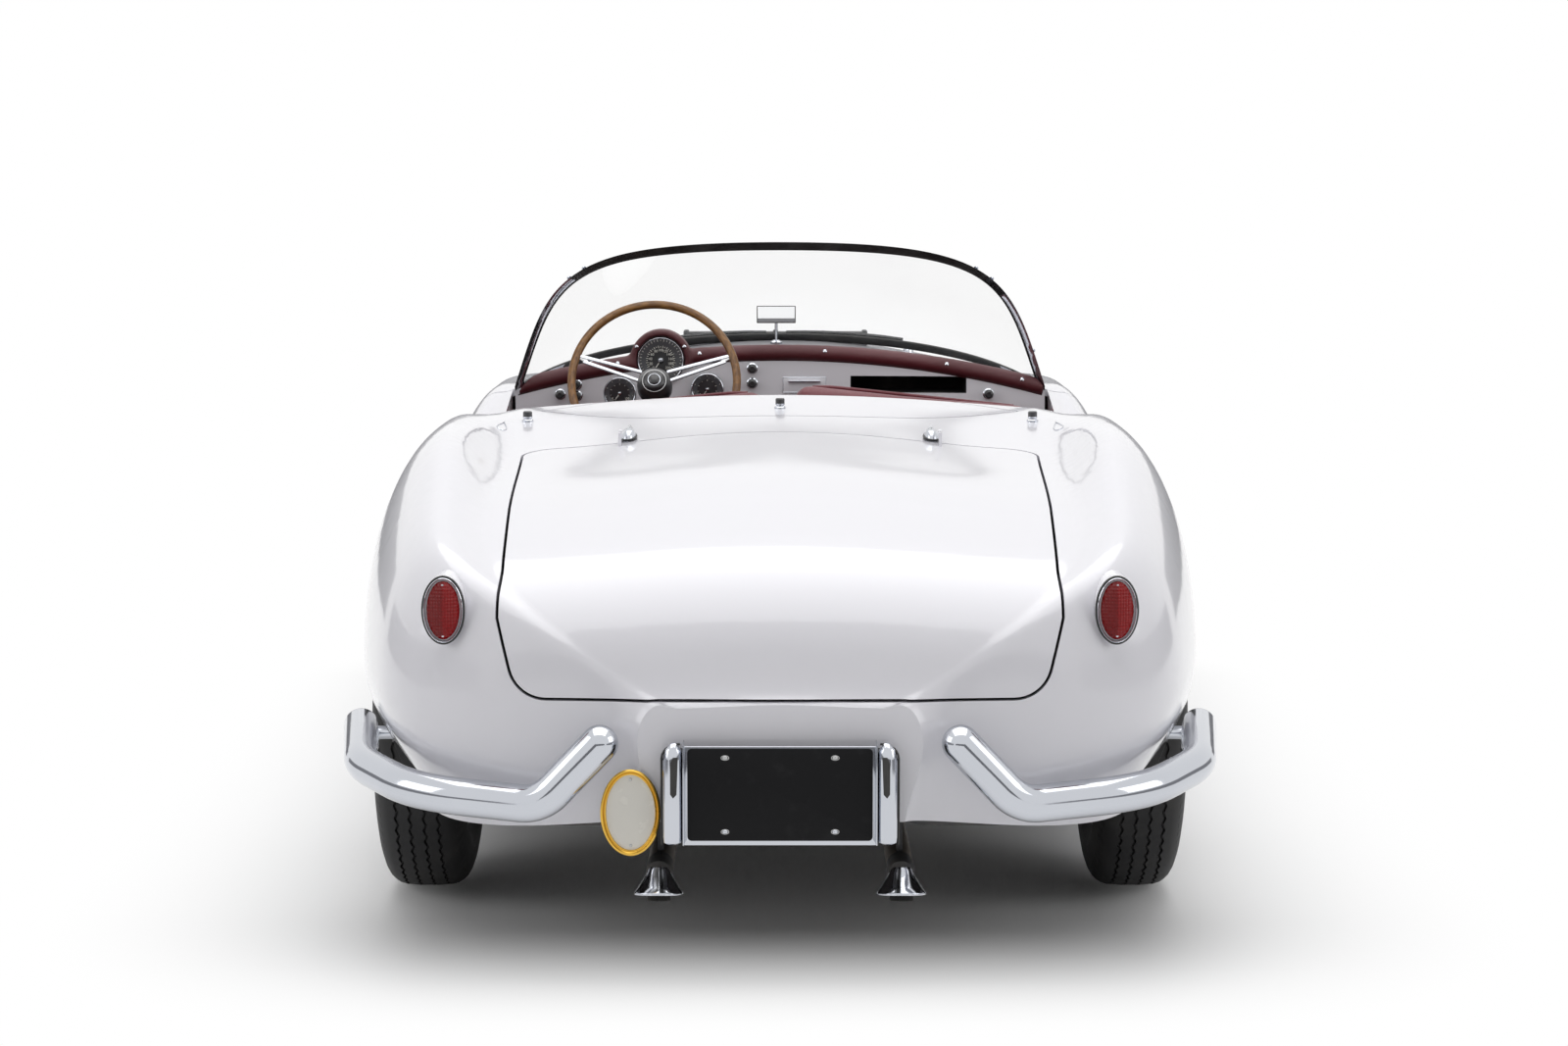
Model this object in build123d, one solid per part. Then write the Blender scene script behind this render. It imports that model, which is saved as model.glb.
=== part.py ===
from build123d import *
import math
import os
from collections import namedtuple

# Two-seat open roadster. Millimetres, +Y forward, +X to the right, +Z up.
# The origin is on the floor, under the middle of the car.

# --- Running gear -----------------------------------------------------------
WHEELBASE = 2450.0
REAR_AXLE_Y = -1130.0
FRONT_AXLE_Y = REAR_AXLE_Y + WHEELBASE
REAR_TRACK = 1320.0
FRONT_TRACK = 1280.0
TYRE_RADIUS = 325.0
TYRE_WIDTH = 165.0
RIM_RADIUS = 200.0
RIM_WIDTH = 134.0
RIM_SHEET = 5.0
TYRE_SEAT = 0.3
KINGPIN_X = 525.0
KINGPIN_RADIUS = 17.0
SPINDLE_RADIUS = 20.0
PIN_CLEARANCE = 0.5
HUB_RADIUS = 48.0
HUBCAP_RADIUS = 92.0
HUBCAP_RISE = 36.0
HUBCAP_EDGE = 6.0
WHEEL_SLOTS = 12
SLOT_CENTRE = 152.0
SLOT_LENGTH = 34.0
SLOT_WIDTH = 16.0
FLANGE_RISE = 12.0
TREAD_EDGE = 30.0
SHOULDER_DROP = 28.0
SHOULDER_IN = 8.0
BEAD_RISE = 46.0

# The wheel disc's front edge from the barrel in to the hub, then its back edge out again.
DISC_REACH = 40.0
DISC_FRONT = (24.0, 40.0, 34.0, 12.0)
DISC_BACK = (-20.0, 2.0, 24.0, 30.0, 14.0)

# --- Body -------------------------------------------------------------------
WALL = 16.0
PANEL_GAP = 5.0
SEAT_GAP = 0.4
INNER_DROP = 60.0
ARCH_RADIUS = 352.0
ARCH_INNER_X = 400.0
LINER = 8.0
FRONT_LINER_RADIUS = 395.0
FRONT_LINER_X = 388.0
REAR_LINER_X = 548.0
LINER_FOOT_Z = 236.0
WINDOW_DEPTH = 40.0
WINDOW_GAP = 10.0
SILL_SHEET = 10.0
FLOOR_Z = 240.0
FLOOR_SHEET = 12.0
TUNNEL_WIDTH = 230.0
TUNNEL_HEIGHT = 190.0
FIREWALL_Y = 640.0
REAR_BULKHEAD_Y = -640.0
BOOT_FLOOR_Z = 420.0

DOOR_FRONT_Y = 230.0
DOOR_REAR_Y = -400.0
DOOR_REAR_SLANT = 45.0
DOOR_BOTTOM_Z = 330.0
DOOR_INNER_X = 612.0
DOOR_THICKNESS = 85.0
DOOR_HINGE_X = 770.5
DOOR_SLANT_X = 774.5

BONNET_REAR_Y = 655.0
BONNET_FRONT_Y = 1830.0
BONNET_REAR_X = 452.0
BONNET_FRONT_X = 330.0
BONNET_FRONT_GAP = 10.0
BONNET_HINGE_Z = 960.0
BONNET_CORNER = 70.0
BONNET_CUT_Z = 560.0
LID_FRONT_Y = -905.0
LID_BOTTOM_Z = 489.0
LID_HINGE_Z = 843.0

COCKPIT_REAR_Y = -480.0
COCKPIT_REAR_SIDE_Y = -425.0
COCKPIT_FRONT_Y = 300.0
COCKPIT_FRONT_SIDE_Y = 235.0
COCKPIT_CUT_Z = 500.0

# The boot lid's right edge: (x, y) from above, (x, z) from behind.
LID_SIDE = [(462, -2200), (462, -1850), (478, -1500), (498, LID_FRONT_Y)]
LID_REAR_EDGE = [(430, LID_BOTTOM_Z), (468, 640), (560, 1100)]
LID_FRONT_CORNER = 60.0
LID_REAR_CORNER = 60.0
LID_CUT_Z = 300.0
HOOD_SIDE = (488.0, -520.0)
HOOD_REAR_Y = -722.0
HOOD_FRONT_Y = -400.0
HOOD_CUT_Z = 600.0
PEG_RISE = 12.0

# Body sections. Widths are from the centreline, heights from the floor.
# top: centreline; valley: the hollow inside each wing; crown: the wing's ridge;
# side: the widest point; sill: the bottom edge.
Section = namedtuple(
    "Section",
    "y top_z valley_x valley_z crown_x crown_z side_x side_z sill_x sill_z",
)
SECTIONS = [
    Section(-1700, 738, 498, 716, 585, 738, 701, 480, 615, 264),
    Section(-1420, 790, 512, 762, 606, 800, 752, 474, 680, 250),
    Section(-1130, 820, 515, 785, 628, 848, 778, 466, 712, 240),
    Section(-800, 854, 515, 820, 638, 861, 777, 460, 715, 236),
    Section(-620, 874, 520, 846, 640, 858, 772, 456, 713, 235),
    Section(-420, 893, 535, 858, 640, 836, 767, 454, 710, 235),
    Section(-100, 905, 545, 838, 676, 776, 765, 452, 706, 235),
    Section(260, 952, 545, 882, 642, 855, 770, 456, 706, 235),
    Section(450, 960, 520, 892, 638, 862, 773, 458, 706, 235),
    Section(640, 960, 490, 888, 638, 862, 776, 460, 707, 236),
    Section(820, 949, 472, 871, 632, 857, 778, 460, 707, 237),
    Section(1000, 932, 455, 848, 624, 850, 778, 460, 706, 238),
    Section(1320, 886, 428, 802, 608, 832, 774, 458, 700, 242),
    Section(1620, 812, 400, 724, 590, 796, 750, 455, 665, 262),
]
TAIL_LENGTH = 347.0
TAIL_EYE_Z = 400.0
NOSE_LENGTH = 430.0
NOSE_EYE_Z = 450.0
NOSE_FACE_Y = 2037.0
END_STEPS = (0.97, 0.85, 0.55)
END_PLAN_POWER = 2.4
END_SIDE_POWER = 2.0
END_SILL_POWER = 0.15
VALLEY_BLEND = 0.35

# Handles of the section curves, as shares of each curve's own run.
SILL_RISE = 0.4
SILL_RUN = 0.25
SIDE_RISE = 0.64
SHOULDER_RUN = 0.46
CROWN_RUN = 0.38
DECK_RUN = 0.4

# Limits that lie outside the whole body, for cutting tools.
FAR = 1200.0
TAIL_END_Y = -2300.0
NOSE_END_Y = 2300.0
SKY_Z = 1400.0


def closing_section(base, y, share, eye_z):
    """A section of the rounded nose or tail, shrunk toward the eye height."""
    plan = (1 - share**END_PLAN_POWER) ** (1 / END_PLAN_POWER)
    side = (1 - share**END_SIDE_POWER) ** (1 / END_SIDE_POWER)

    def lower(z):
        return eye_z + (z - eye_z) * side

    return Section(
        y,
        lower(base.top_z),
        base.valley_x * plan,
        lower(base.valley_z),
        base.crown_x * plan,
        lower(base.crown_z),
        base.side_x * plan,
        lower(base.side_z),
        base.sill_x * plan,
        eye_z + (base.sill_z - eye_z) * side**END_SILL_POWER,
    )


def body_stations(inset):
    """All sections from tail to nose, with both ends shortened by the inset."""
    tail, nose = SECTIONS[0], SECTIONS[-1]
    tail_run = TAIL_LENGTH - inset
    nose_run = NOSE_LENGTH - inset
    rear = [
        closing_section(tail, tail.y - tail_run * share, share, TAIL_EYE_Z)
        for share in END_STEPS
    ]
    front = [
        closing_section(nose, nose.y + nose_run * share, share, NOSE_EYE_Z)
        for share in reversed(END_STEPS)
    ]
    return rear + SECTIONS + front


def valley_slope(top, valley, crown):
    """The slope of a section where the deck meets the wing."""
    deck = (valley[1] - top[1]) / (valley[0] - top[0])
    wing = (crown[1] - valley[1]) / (crown[0] - valley[0])
    if deck * wing > 0:
        return 2 * deck * wing / (deck + wing)
    return VALLEY_BLEND * deck


def section_wire(section, inset, drop):
    """One closed section: a flat bottom, then four curves up each side."""
    top = (0.0, section.top_z - inset)
    valley = (section.valley_x, section.valley_z - inset)
    crown = (section.crown_x, section.crown_z - inset)
    side = (section.side_x - inset, section.side_z)
    sill = (section.sill_x - inset, section.sill_z - drop)
    tilt = valley_slope(top, valley, crown)
    lower_rise = SILL_RISE * (side[1] - sill[1])
    lower_run = SILL_RUN * (side[0] - sill[0])
    upper_rise = SIDE_RISE * (crown[1] - side[1])
    shoulder_run = SHOULDER_RUN * (side[0] - crown[0])
    dip_run = CROWN_RUN * (crown[0] - valley[0])
    deck_run = DECK_RUN * valley[0]
    curves = [
        (
            sill,
            (sill[0] + lower_run, sill[1] + lower_rise),
            (side[0], side[1] - lower_rise),
            side,
        ),
        (
            side,
            (side[0], side[1] + upper_rise),
            (crown[0] + shoulder_run, crown[1]),
            crown,
        ),
        (
            crown,
            (crown[0] - dip_run, crown[1]),
            (valley[0] + dip_run, valley[1] + dip_run * tilt),
            valley,
        ),
        (
            valley,
            (valley[0] - deck_run, valley[1] - deck_run * tilt),
            (deck_run, top[1]),
            top,
        ),
    ]
    edges = [
        Line((-sill[0], section.y, sill[1]), (sill[0], section.y, sill[1])),
    ]
    for curve in curves:
        edges.append(Bezier(*[(x, section.y, z) for x, z in curve]))
    for curve in reversed(curves):
        edges.append(Bezier(*[(-x, section.y, z) for x, z in reversed(curve)]))
    return Wire(edges)


def body_form(inset=0.0, drop=0.0):
    """The solid body form, made smaller all round by the inset."""
    return Solid.make_loft(
        [section_wire(section, inset, drop) for section in body_stations(inset)]
    )


def box(x0, x1, y0, y1, z0, z1):
    """A box given by its limits."""
    return Pos((x0 + x1) / 2, (y0 + y1) / 2, (z0 + z1) / 2) * Box(
        x1 - x0, y1 - y0, z1 - z0
    )


def rod_x(x0, x1, y, z, radius):
    """A round bar along X."""
    bar = Cylinder(radius, x1 - x0, align=(Align.CENTER, Align.CENTER, Align.MIN))
    return Pos(x0, y, z) * Rot(0, 90, 0) * bar


def rod_y(x, y0, y1, z, radius):
    """A round bar along Y."""
    bar = Cylinder(radius, y1 - y0, align=(Align.CENTER, Align.CENTER, Align.MIN))
    return Pos(x, y0, z) * Rot(-90, 0, 0) * bar


def rod_z(x, y, z0, z1, radius):
    """A round bar along Z."""
    bar = Cylinder(radius, z1 - z0, align=(Align.CENTER, Align.CENTER, Align.MIN))
    return Pos(x, y, z0) * bar


def plan_prism(points, z0, z1, corner=0.0, grow=0.0):
    """An outline seen from above, drawn through a height."""
    face = make_face(Polyline(*points, close=True))
    if corner:
        face = fillet(face.vertices(), corner)
    if grow:
        face = offset(face, grow)
    return Pos(0, 0, z0) * extrude(face, z1 - z0)


def rear_prism(points, y0, y1, corner=0.0, grow=0.0):
    """An outline seen from behind (X across, Z up), drawn along Y."""
    face = make_face(Polyline(*points, close=True))
    if corner:
        face = fillet(face.vertices(), corner)
    if grow:
        face = offset(face, grow)
    return Pos(0, y1, 0) * Rot(90, 0, 0) * extrude(face, y1 - y0)


def side_prism(face, x0, x1):
    """A flat (Y, Z) outline drawn across the car between two X positions."""
    return extrude(Plane.YZ.offset(x0) * face, x1 - x0)


def mirrored(shape):
    """The same shape on the left side."""
    return mirror(shape, about=Plane.YZ)


def both_sides(shape):
    """A shape and its mirror image as one set of solids."""
    return Compound(children=[*shape.solids(), *mirrored(shape).solids()])


def joined(*shapes):
    """Several separate solids kept in one node."""
    return Compound(children=[solid for shape in shapes for solid in shape.solids()])


def largest(shape):
    """The biggest solid of a shape, without the crumbs of a cut."""
    return max(shape.solids(), key=lambda solid: solid.volume)


# --- Body panels ------------------------------------------------------------
OUTER = body_form()
INNER = body_form(WALL, INNER_DROP)
INNER_SEAT = body_form(WALL + SEAT_GAP, INNER_DROP)
DOOR_INNER = body_form(DOOR_THICKNESS, INNER_DROP)
OUTER_SEAT = body_form(-SEAT_GAP)
PEG_FORM = body_form(-PEG_RISE)
SHELL = OUTER - INNER


def door_prism(grow):
    """The door's outline from above on the right side."""
    points = [
        (DOOR_INNER_X, DOOR_FRONT_Y),
        (FAR, DOOR_FRONT_Y),
        (FAR, DOOR_REAR_Y),
        (DOOR_SLANT_X, DOOR_REAR_Y),
        (DOOR_INNER_X, DOOR_REAR_Y + DOOR_REAR_SLANT),
    ]
    return plan_prism(points, DOOR_BOTTOM_Z - grow, SKY_Z, 0.0, grow)


def cockpit_prism():
    """The cockpit opening from above, with arched front and rear edges."""
    x = DOOR_INNER_X
    rear_right = (x, COCKPIT_REAR_SIDE_Y)
    front_right = (x, COCKPIT_FRONT_SIDE_Y)
    rear_left = (-x, COCKPIT_REAR_SIDE_Y)
    front_left = (-x, COCKPIT_FRONT_SIDE_Y)
    edges = [
        ThreePointArc(rear_left, (0, COCKPIT_REAR_Y), rear_right),
        Line(rear_right, front_right),
        ThreePointArc(front_right, (0, COCKPIT_FRONT_Y), front_left),
        Line(front_left, rear_left),
    ]
    return Pos(0, 0, COCKPIT_CUT_Z) * extrude(make_face(edges), SKY_Z - COCKPIT_CUT_Z)


SHELL_SEAT = OUTER_SEAT - INNER_SEAT - cockpit_prism()


def bonnet_prism(grow, front_grow):
    """The bonnet's outline from above."""
    points = [
        (-BONNET_REAR_X - grow, BONNET_REAR_Y - grow),
        (BONNET_REAR_X + grow, BONNET_REAR_Y - grow),
        (BONNET_FRONT_X + grow, BONNET_FRONT_Y + front_grow),
        (-BONNET_FRONT_X - grow, BONNET_FRONT_Y + front_grow),
    ]
    return plan_prism(points, BONNET_CUT_Z, SKY_Z, BONNET_CORNER)


def lid_prism(grow):
    """The boot lid's outline: its sides from above, its lower edge from behind."""
    right = [(x, y) for x, y in LID_SIDE]
    left = [(-x, y) for x, y in reversed(LID_SIDE)]
    plan = make_face(Polyline(*right, *left, close=True))
    plan = fillet(plan.vertices().sort_by(Axis.Y)[-2:], LID_FRONT_CORNER)
    if grow:
        plan = offset(plan, grow)
    above = Pos(0, 0, LID_CUT_Z) * extrude(plan, SKY_Z - LID_CUT_Z)
    right = [(x, z) for x, z in LID_REAR_EDGE]
    left = [(-x, z) for x, z in reversed(LID_REAR_EDGE)]
    behind = rear_prism([*left, *right], TAIL_END_Y, 0.0, LID_REAR_CORNER, grow)
    return above & behind


def hood_prism(grow):
    """The lens-shaped cover of the hood well, between cockpit and boot lid."""
    left = (-HOOD_SIDE[0], HOOD_SIDE[1])
    rear_arc = ThreePointArc(left, (0, HOOD_REAR_Y), HOOD_SIDE)
    side_arc = ThreePointArc(HOOD_SIDE, (0, HOOD_FRONT_Y), left)
    face = make_face([rear_arc, side_arc])
    if grow:
        face = offset(face, grow)
    return Pos(0, 0, HOOD_CUT_Z) * extrude(face, SKY_Z - HOOD_CUT_Z)


def wheel_arches(axle_y):
    """Cylinders that open one axle's arches on both sides."""
    right = rod_x(ARCH_INNER_X, FAR, axle_y, TYRE_RADIUS, ARCH_RADIUS)
    return [right, mirrored(right)]


GRILLE_Z0 = 335.0
GRILLE_BARS = 12
BAR_PITCH = 23.0
BAR_HEIGHT = 5.0
BAR_DEPTH = 14.0
GRILLE_DEPTH = 34.0
GRILLE_PROUD = 10.0
GRILLE_RIM = 15.0
GRILLE_EDGE = [(150, GRILLE_Z0), (235, 470), (205, 640)]
GRILLE_CORNER = 60.0
GRILLE_CUT_Y = 1700.0
NOSE_BEND_Z = (500.0, 660.0)
NOSE_LEAN = (15.0, 54.0)


def grille_prism(grow=0.0):
    """The shield-shaped air intake seen from the front."""
    right = [(x, z) for x, z in GRILLE_EDGE]
    left = [(-x, z) for x, z in reversed(GRILLE_EDGE)]
    return rear_prism([*left, *right], GRILLE_CUT_Y, NOSE_END_Y, GRILLE_CORNER, grow)


HEADLAMP_X = 566.0
HEADLAMP_Z = 640.0
HEADLAMP_RADIUS = 92.0
HEADLAMP_REAR_Y = 1800.0
HEADLAMP_HOLE_Y = 1750.0
HEADLAMP_FACE_Y = 1925.0
HEADLAMP_DOME = 38.0
HEADLAMP_SHOULDER = (0.6, 26.0)

KNUCKLE_LENGTH = 30.0
BARREL_RADIUS = 4.0
BARREL_CLEARANCE = 0.8
DOOR_HINGE_Y = DOOR_FRONT_Y + PANEL_GAP / 2
DOOR_HINGE_Z = 456.0
BONNET_HINGE_Y = BONNET_REAR_Y - PANEL_GAP / 2
BONNET_HINGE_X = 60.0
LID_HINGE_Y = LID_FRONT_Y + PANEL_GAP / 2
LID_HINGE_X = 297.0
LID_BARREL_RADIUS = 5.0
LID_HINGE_HALF = 11.0
LID_HINGE_LENGTH = 120.0
LID_HINGE_TIP = 3.0
LID_HINGE_RISE = 3.0
LID_LUG_WIDTH = 6.0
LID_LUG_LENGTH = 34.0
LID_LUG_DEPTH = 36.0


def door_knuckle(moving, radius):
    """The fixed or the moving barrel of the right door's hinge."""
    z0 = DOOR_HINGE_Z if moving else DOOR_HINGE_Z - KNUCKLE_LENGTH
    z1 = z0 + KNUCKLE_LENGTH - (SEAT_GAP if not moving else 0.0)
    if radius > BARREL_RADIUS:
        z0 -= SEAT_GAP
        z1 += SEAT_GAP
    return rod_z(DOOR_HINGE_X, DOOR_HINGE_Y, z0, z1, radius)


def bonnet_knuckles(moving, radius):
    """The fixed or the moving barrels in the bonnet's rear seam."""
    bars = []
    for side in (-1, 1):
        inner = side * BONNET_HINGE_X
        outer = side * (BONNET_HINGE_X + KNUCKLE_LENGTH)
        middle = side * (BONNET_HINGE_X + KNUCKLE_LENGTH / 2)
        shift = side * SEAT_GAP / 2
        ends = (inner, middle - shift) if moving else (middle + shift, outer)
        x0, x1 = sorted(ends)
        if radius > BARREL_RADIUS:
            x0 -= SEAT_GAP
            x1 += SEAT_GAP
        bars.append(rod_x(x0, x1, BONNET_HINGE_Y, BONNET_HINGE_Z, radius))
    return bars


def front_body():
    """Nose, wings and cowl in one welded shell."""
    shell = SHELL & box(-FAR, FAR, DOOR_FRONT_Y + PANEL_GAP, NOSE_END_Y, 0, SKY_Z)
    shell = shell - bonnet_prism(PANEL_GAP, BONNET_FRONT_GAP) - cockpit_prism()
    for arch in wheel_arches(FRONT_AXLE_Y):
        shell = shell - arch
    shell = shell - grille_prism()
    lamp_hole = rod_y(
        HEADLAMP_X, HEADLAMP_HOLE_Y, NOSE_END_Y, HEADLAMP_Z, HEADLAMP_RADIUS + SEAT_GAP
    )
    shell = shell - lamp_hole - mirrored(lamp_hole)
    notch = door_knuckle(True, BARREL_RADIUS + BARREL_CLEARANCE)
    barrel = door_knuckle(False, BARREL_RADIUS)
    shell = shell - notch - mirrored(notch) + barrel + mirrored(barrel)
    for notch in bonnet_knuckles(True, BARREL_RADIUS + BARREL_CLEARANCE):
        shell = shell - notch
    for barrel in bonnet_knuckles(False, BARREL_RADIUS):
        shell = shell + barrel
    return largest(shell)


def rear_body():
    """Tail, rear wings and deck in one welded shell."""
    shell = SHELL & box(-FAR, FAR, TAIL_END_Y, DOOR_REAR_Y + DOOR_REAR_SLANT, 0, SKY_Z)
    shell = shell - door_prism(PANEL_GAP) - mirrored(door_prism(PANEL_GAP))
    shell = shell - box(-FAR, FAR, DOOR_REAR_Y - PANEL_GAP, 0, 0, DOOR_BOTTOM_Z - PANEL_GAP)
    shell = shell - lid_prism(PANEL_GAP) - cockpit_prism() - hood_prism(PANEL_GAP)
    for arch in wheel_arches(REAR_AXLE_Y):
        shell = shell - arch
    return largest(shell)


def bonnet():
    """The bonnet with its two hinge barrels."""
    panel = SHELL & bonnet_prism(0.0, 0.0)
    for notch in bonnet_knuckles(False, BARREL_RADIUS + BARREL_CLEARANCE):
        panel = panel - notch
    for barrel in bonnet_knuckles(True, BARREL_RADIUS):
        panel = panel + barrel
    return panel


def boot_lid():
    """The boot lid with a hinge lug beside each fixed hinge."""
    panel = SHELL & lid_prism(0.0)
    x0 = LID_HINGE_X + LID_HINGE_HALF + SEAT_GAP
    x1 = x0 + LID_LUG_WIDTH
    lug = box(
        x0,
        x1,
        LID_HINGE_Y - LID_LUG_LENGTH,
        LID_HINGE_Y,
        LID_HINGE_Z - LID_LUG_DEPTH,
        LID_HINGE_Z,
    )
    lug = (lug - INNER) + rod_x(x0, x1, LID_HINGE_Y, LID_HINGE_Z, LID_BARREL_RADIUS)
    return largest(panel + lug + mirrored(lug))


def sills():
    """The outer sills under both doors, each a closed box to the floor's edge."""
    y0 = DOOR_REAR_Y - PANEL_GAP
    y1 = DOOR_FRONT_Y + PANEL_GAP
    z1 = DOOR_BOTTOM_Z - PANEL_GAP
    between = box(0, FAR, y0, y1, 0, SKY_Z)
    skin = largest(SHELL & between & box(0, FAR, y0, y1, 0, z1))
    walls = box(DOOR_INNER_X, FAR, REAR_BULKHEAD_Y, FIREWALL_Y, FLOOR_Z, z1)
    walls = walls - box(DOOR_INNER_X + SILL_SHEET, FAR, -FAR, FAR, 0, z1 - SILL_SHEET)
    right = largest(skin + (walls & INNER & between) + ((walls & INNER_SEAT) - between))
    return joined(right, mirrored(right))


def door(side):
    """One door: outer skin, rolled top and inner panel in one thickness."""
    right = (OUTER - DOOR_INNER) & door_prism(0.0)
    right = right - door_knuckle(False, BARREL_RADIUS + BARREL_CLEARANCE)
    right = largest(right + door_knuckle(True, BARREL_RADIUS))
    return right if side > 0 else mirrored(right)


def axle_windows():
    """The holes in the inboard walls that the axles pass through."""
    return [
        box(
            REAR_LINER_X - WINDOW_DEPTH,
            REAR_LINER_X + 1,
            DEDION_Y - DEDION_RADIUS - WINDOW_GAP,
            REAR_AXLE_Y + CARRIER_HALF + WINDOW_GAP,
            TYRE_RADIUS - CARRIER_HALF - WINDOW_GAP,
            TYRE_RADIUS + CARRIER_HALF + WINDOW_GAP,
        ),
        box(
            FRONT_LINER_X - WINDOW_DEPTH,
            FRONT_LINER_X + 1,
            FRONT_AXLE_Y - BEAM_HALF - PANEL_GAP,
            FRONT_AXLE_Y + BEAM_HALF + PANEL_GAP,
            UPPER_BEAM_Z0 - PANEL_GAP,
            UPPER_BEAM_Z1 + PANEL_GAP,
        ),
    ]


def wheelhouses():
    """The four inner arches, each a half drum with an inboard wall."""
    Drum = namedtuple("Drum", "axle_y radius inner_x")
    table = [
        Drum(REAR_AXLE_Y, ARCH_RADIUS, REAR_LINER_X),
        Drum(FRONT_AXLE_Y, FRONT_LINER_RADIUS, FRONT_LINER_X),
    ]
    solids = []
    for row in table:
        drum = rod_x(row.inner_x - LINER, FAR, row.axle_y, TYRE_RADIUS, row.radius + LINER)
        hollow = rod_x(row.inner_x, FAR, row.axle_y, TYRE_RADIUS, row.radius)
        half = (drum - hollow) & box(0, FAR, TAIL_END_Y, NOSE_END_Y, LINER_FOOT_Z, SKY_Z)
        half = half & INNER_SEAT
        for window in axle_windows():
            half = half - window
        solids.append(half)
        solids.append(mirrored(half))
    return joined(*solids)


# --- Floor and frame ----------------------------------------------------------
TUNNEL_WALL = 10.0
JACK_X = 580.0
JACK_Y = (450.0, -550.0)
JACK_SIZE = 50.0
JACK_DROP = 12.0
RAIL_X0 = 240.0
RAIL_X1 = 300.0
RAIL_Z0 = 300.0
RAIL_Z1 = 390.0
RAIL_FRONT_Y = 1880.0
CROSS_DEPTH = 50.0
CROSS_TOP_Z = 360.0
ENGINE_Y = (760.0, 1270.0)
ENGINE_TOP_Z = 740.0
TRANSAXLE_HALF = 150.0
TRANSAXLE_Y = (-1240.0, -880.0)
TRANSAXLE_Z0 = 226.0
BULKHEAD_SHEET = 12.0
BOOT_SHEET = 10.0
BOOT_REAR_Y = -1990.0


def floor_pan():
    """Flat cabin floor with a hollow centre tunnel and four lifting pads."""
    half = TUNNEL_WIDTH / 2
    edge = DOOR_INNER_X - SEAT_GAP
    plate = box(-edge, edge, REAR_BULKHEAD_Y, FIREWALL_Y, FLOOR_Z, FLOOR_Z + FLOOR_SHEET)
    top_z = FLOOR_Z + FLOOR_SHEET + TUNNEL_HEIGHT
    tunnel = box(-half, half, REAR_BULKHEAD_Y, FIREWALL_Y, FLOOR_Z, top_z)
    hollow = box(
        -half + TUNNEL_WALL,
        half - TUNNEL_WALL,
        REAR_BULKHEAD_Y,
        FIREWALL_Y,
        FLOOR_Z,
        top_z - TUNNEL_WALL,
    )
    floor = ((plate & INNER_SEAT) + tunnel) - hollow
    for x in (-JACK_X, JACK_X):
        for y in JACK_Y:
            pad = Pos(x, y, FLOOR_Z) * Box(
                JACK_SIZE, JACK_SIZE, JACK_DROP, align=(Align.CENTER, Align.CENTER, Align.MAX)
            )
            floor = floor + pad
    return floor


def bulkheads():
    """Firewall and rear bulkhead, cut to the inside of the body shell."""
    sheets = []
    for y0 in (FIREWALL_Y, REAR_BULKHEAD_Y - BULKHEAD_SHEET):
        sheet = box(-FAR, FAR, y0, y0 + BULKHEAD_SHEET, FLOOR_Z, SKY_Z)
        sheets.append(sheet & INNER_SEAT)
    return joined(*sheets)


def boot_floor():
    """Boot floor between and behind the rear wheelhouses."""
    plate = box(
        -FAR,
        FAR,
        BOOT_REAR_Y,
        REAR_BULKHEAD_Y - BULKHEAD_SHEET,
        BOOT_FLOOR_Z,
        BOOT_FLOOR_Z + BOOT_SHEET,
    )
    plate = plate & INNER_SEAT
    drum = rod_x(
        REAR_LINER_X - LINER - SEAT_GAP,
        FAR,
        REAR_AXLE_Y,
        TYRE_RADIUS,
        ARCH_RADIUS + LINER + SEAT_GAP,
    )
    return plate - drum - mirrored(drum)


def front_rails():
    """Two box rails that carry the engine and the front suspension."""
    rear_y = FIREWALL_Y + BULKHEAD_SHEET
    rail = box(RAIL_X0, RAIL_X1, rear_y, RAIL_FRONT_Y, RAIL_Z0, RAIL_Z1)
    cross = box(
        -RAIL_X1, RAIL_X1, RAIL_FRONT_Y - CROSS_DEPTH, RAIL_FRONT_Y, RAIL_Z0, CROSS_TOP_Z
    )
    rails = rail + cross + mirrored(rail)
    return rails & INNER_SEAT


def engine():
    """The engine as one plain block between the rails."""
    half = RAIL_X0 - SEAT_GAP
    return box(-half, half, *ENGINE_Y, RAIL_Z0, ENGINE_TOP_Z)


def transaxle():
    """Gearbox and final drive as one plain block under the boot floor."""
    top_z = BOOT_FLOOR_Z - SEAT_GAP
    return box(-TRANSAXLE_HALF, TRANSAXLE_HALF, *TRANSAXLE_Y, TRANSAXLE_Z0, top_z)


# --- Suspension ---------------------------------------------------------------
BEAM_HALF = 22.0
LOWER_BEAM_Z0 = 205.0
LOWER_BEAM_Z1 = 235.0
UPPER_BEAM_Z0 = 470.0
UPPER_BEAM_Z1 = 500.0
KNUCKLE_END_GAP = 6.0
KNUCKLE_RADIUS = 28.0
SPINDLE_END = 15.0
CARRIER_X = 575.0
CARRIER_SHEET = 17.0
CARRIER_HALF = 40.0
HALF_SHAFT_RADIUS = 15.0
ARM_X = (495.0, 513.0)
ARM_LENGTH = 150.0
ARM_Z = (292.0, 308.0)
DEDION_Y = -1290.0
DEDION_RADIUS = 27.0
SPRING_X = 450.0
SPRING_Y = (-1650.0, -760.0)
SPRING_HALF = 25.0
SPRING_THICK = 24.0
SHACKLE_HALF = 15.0
SHACKLE_DEPTH = 20.0


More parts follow.
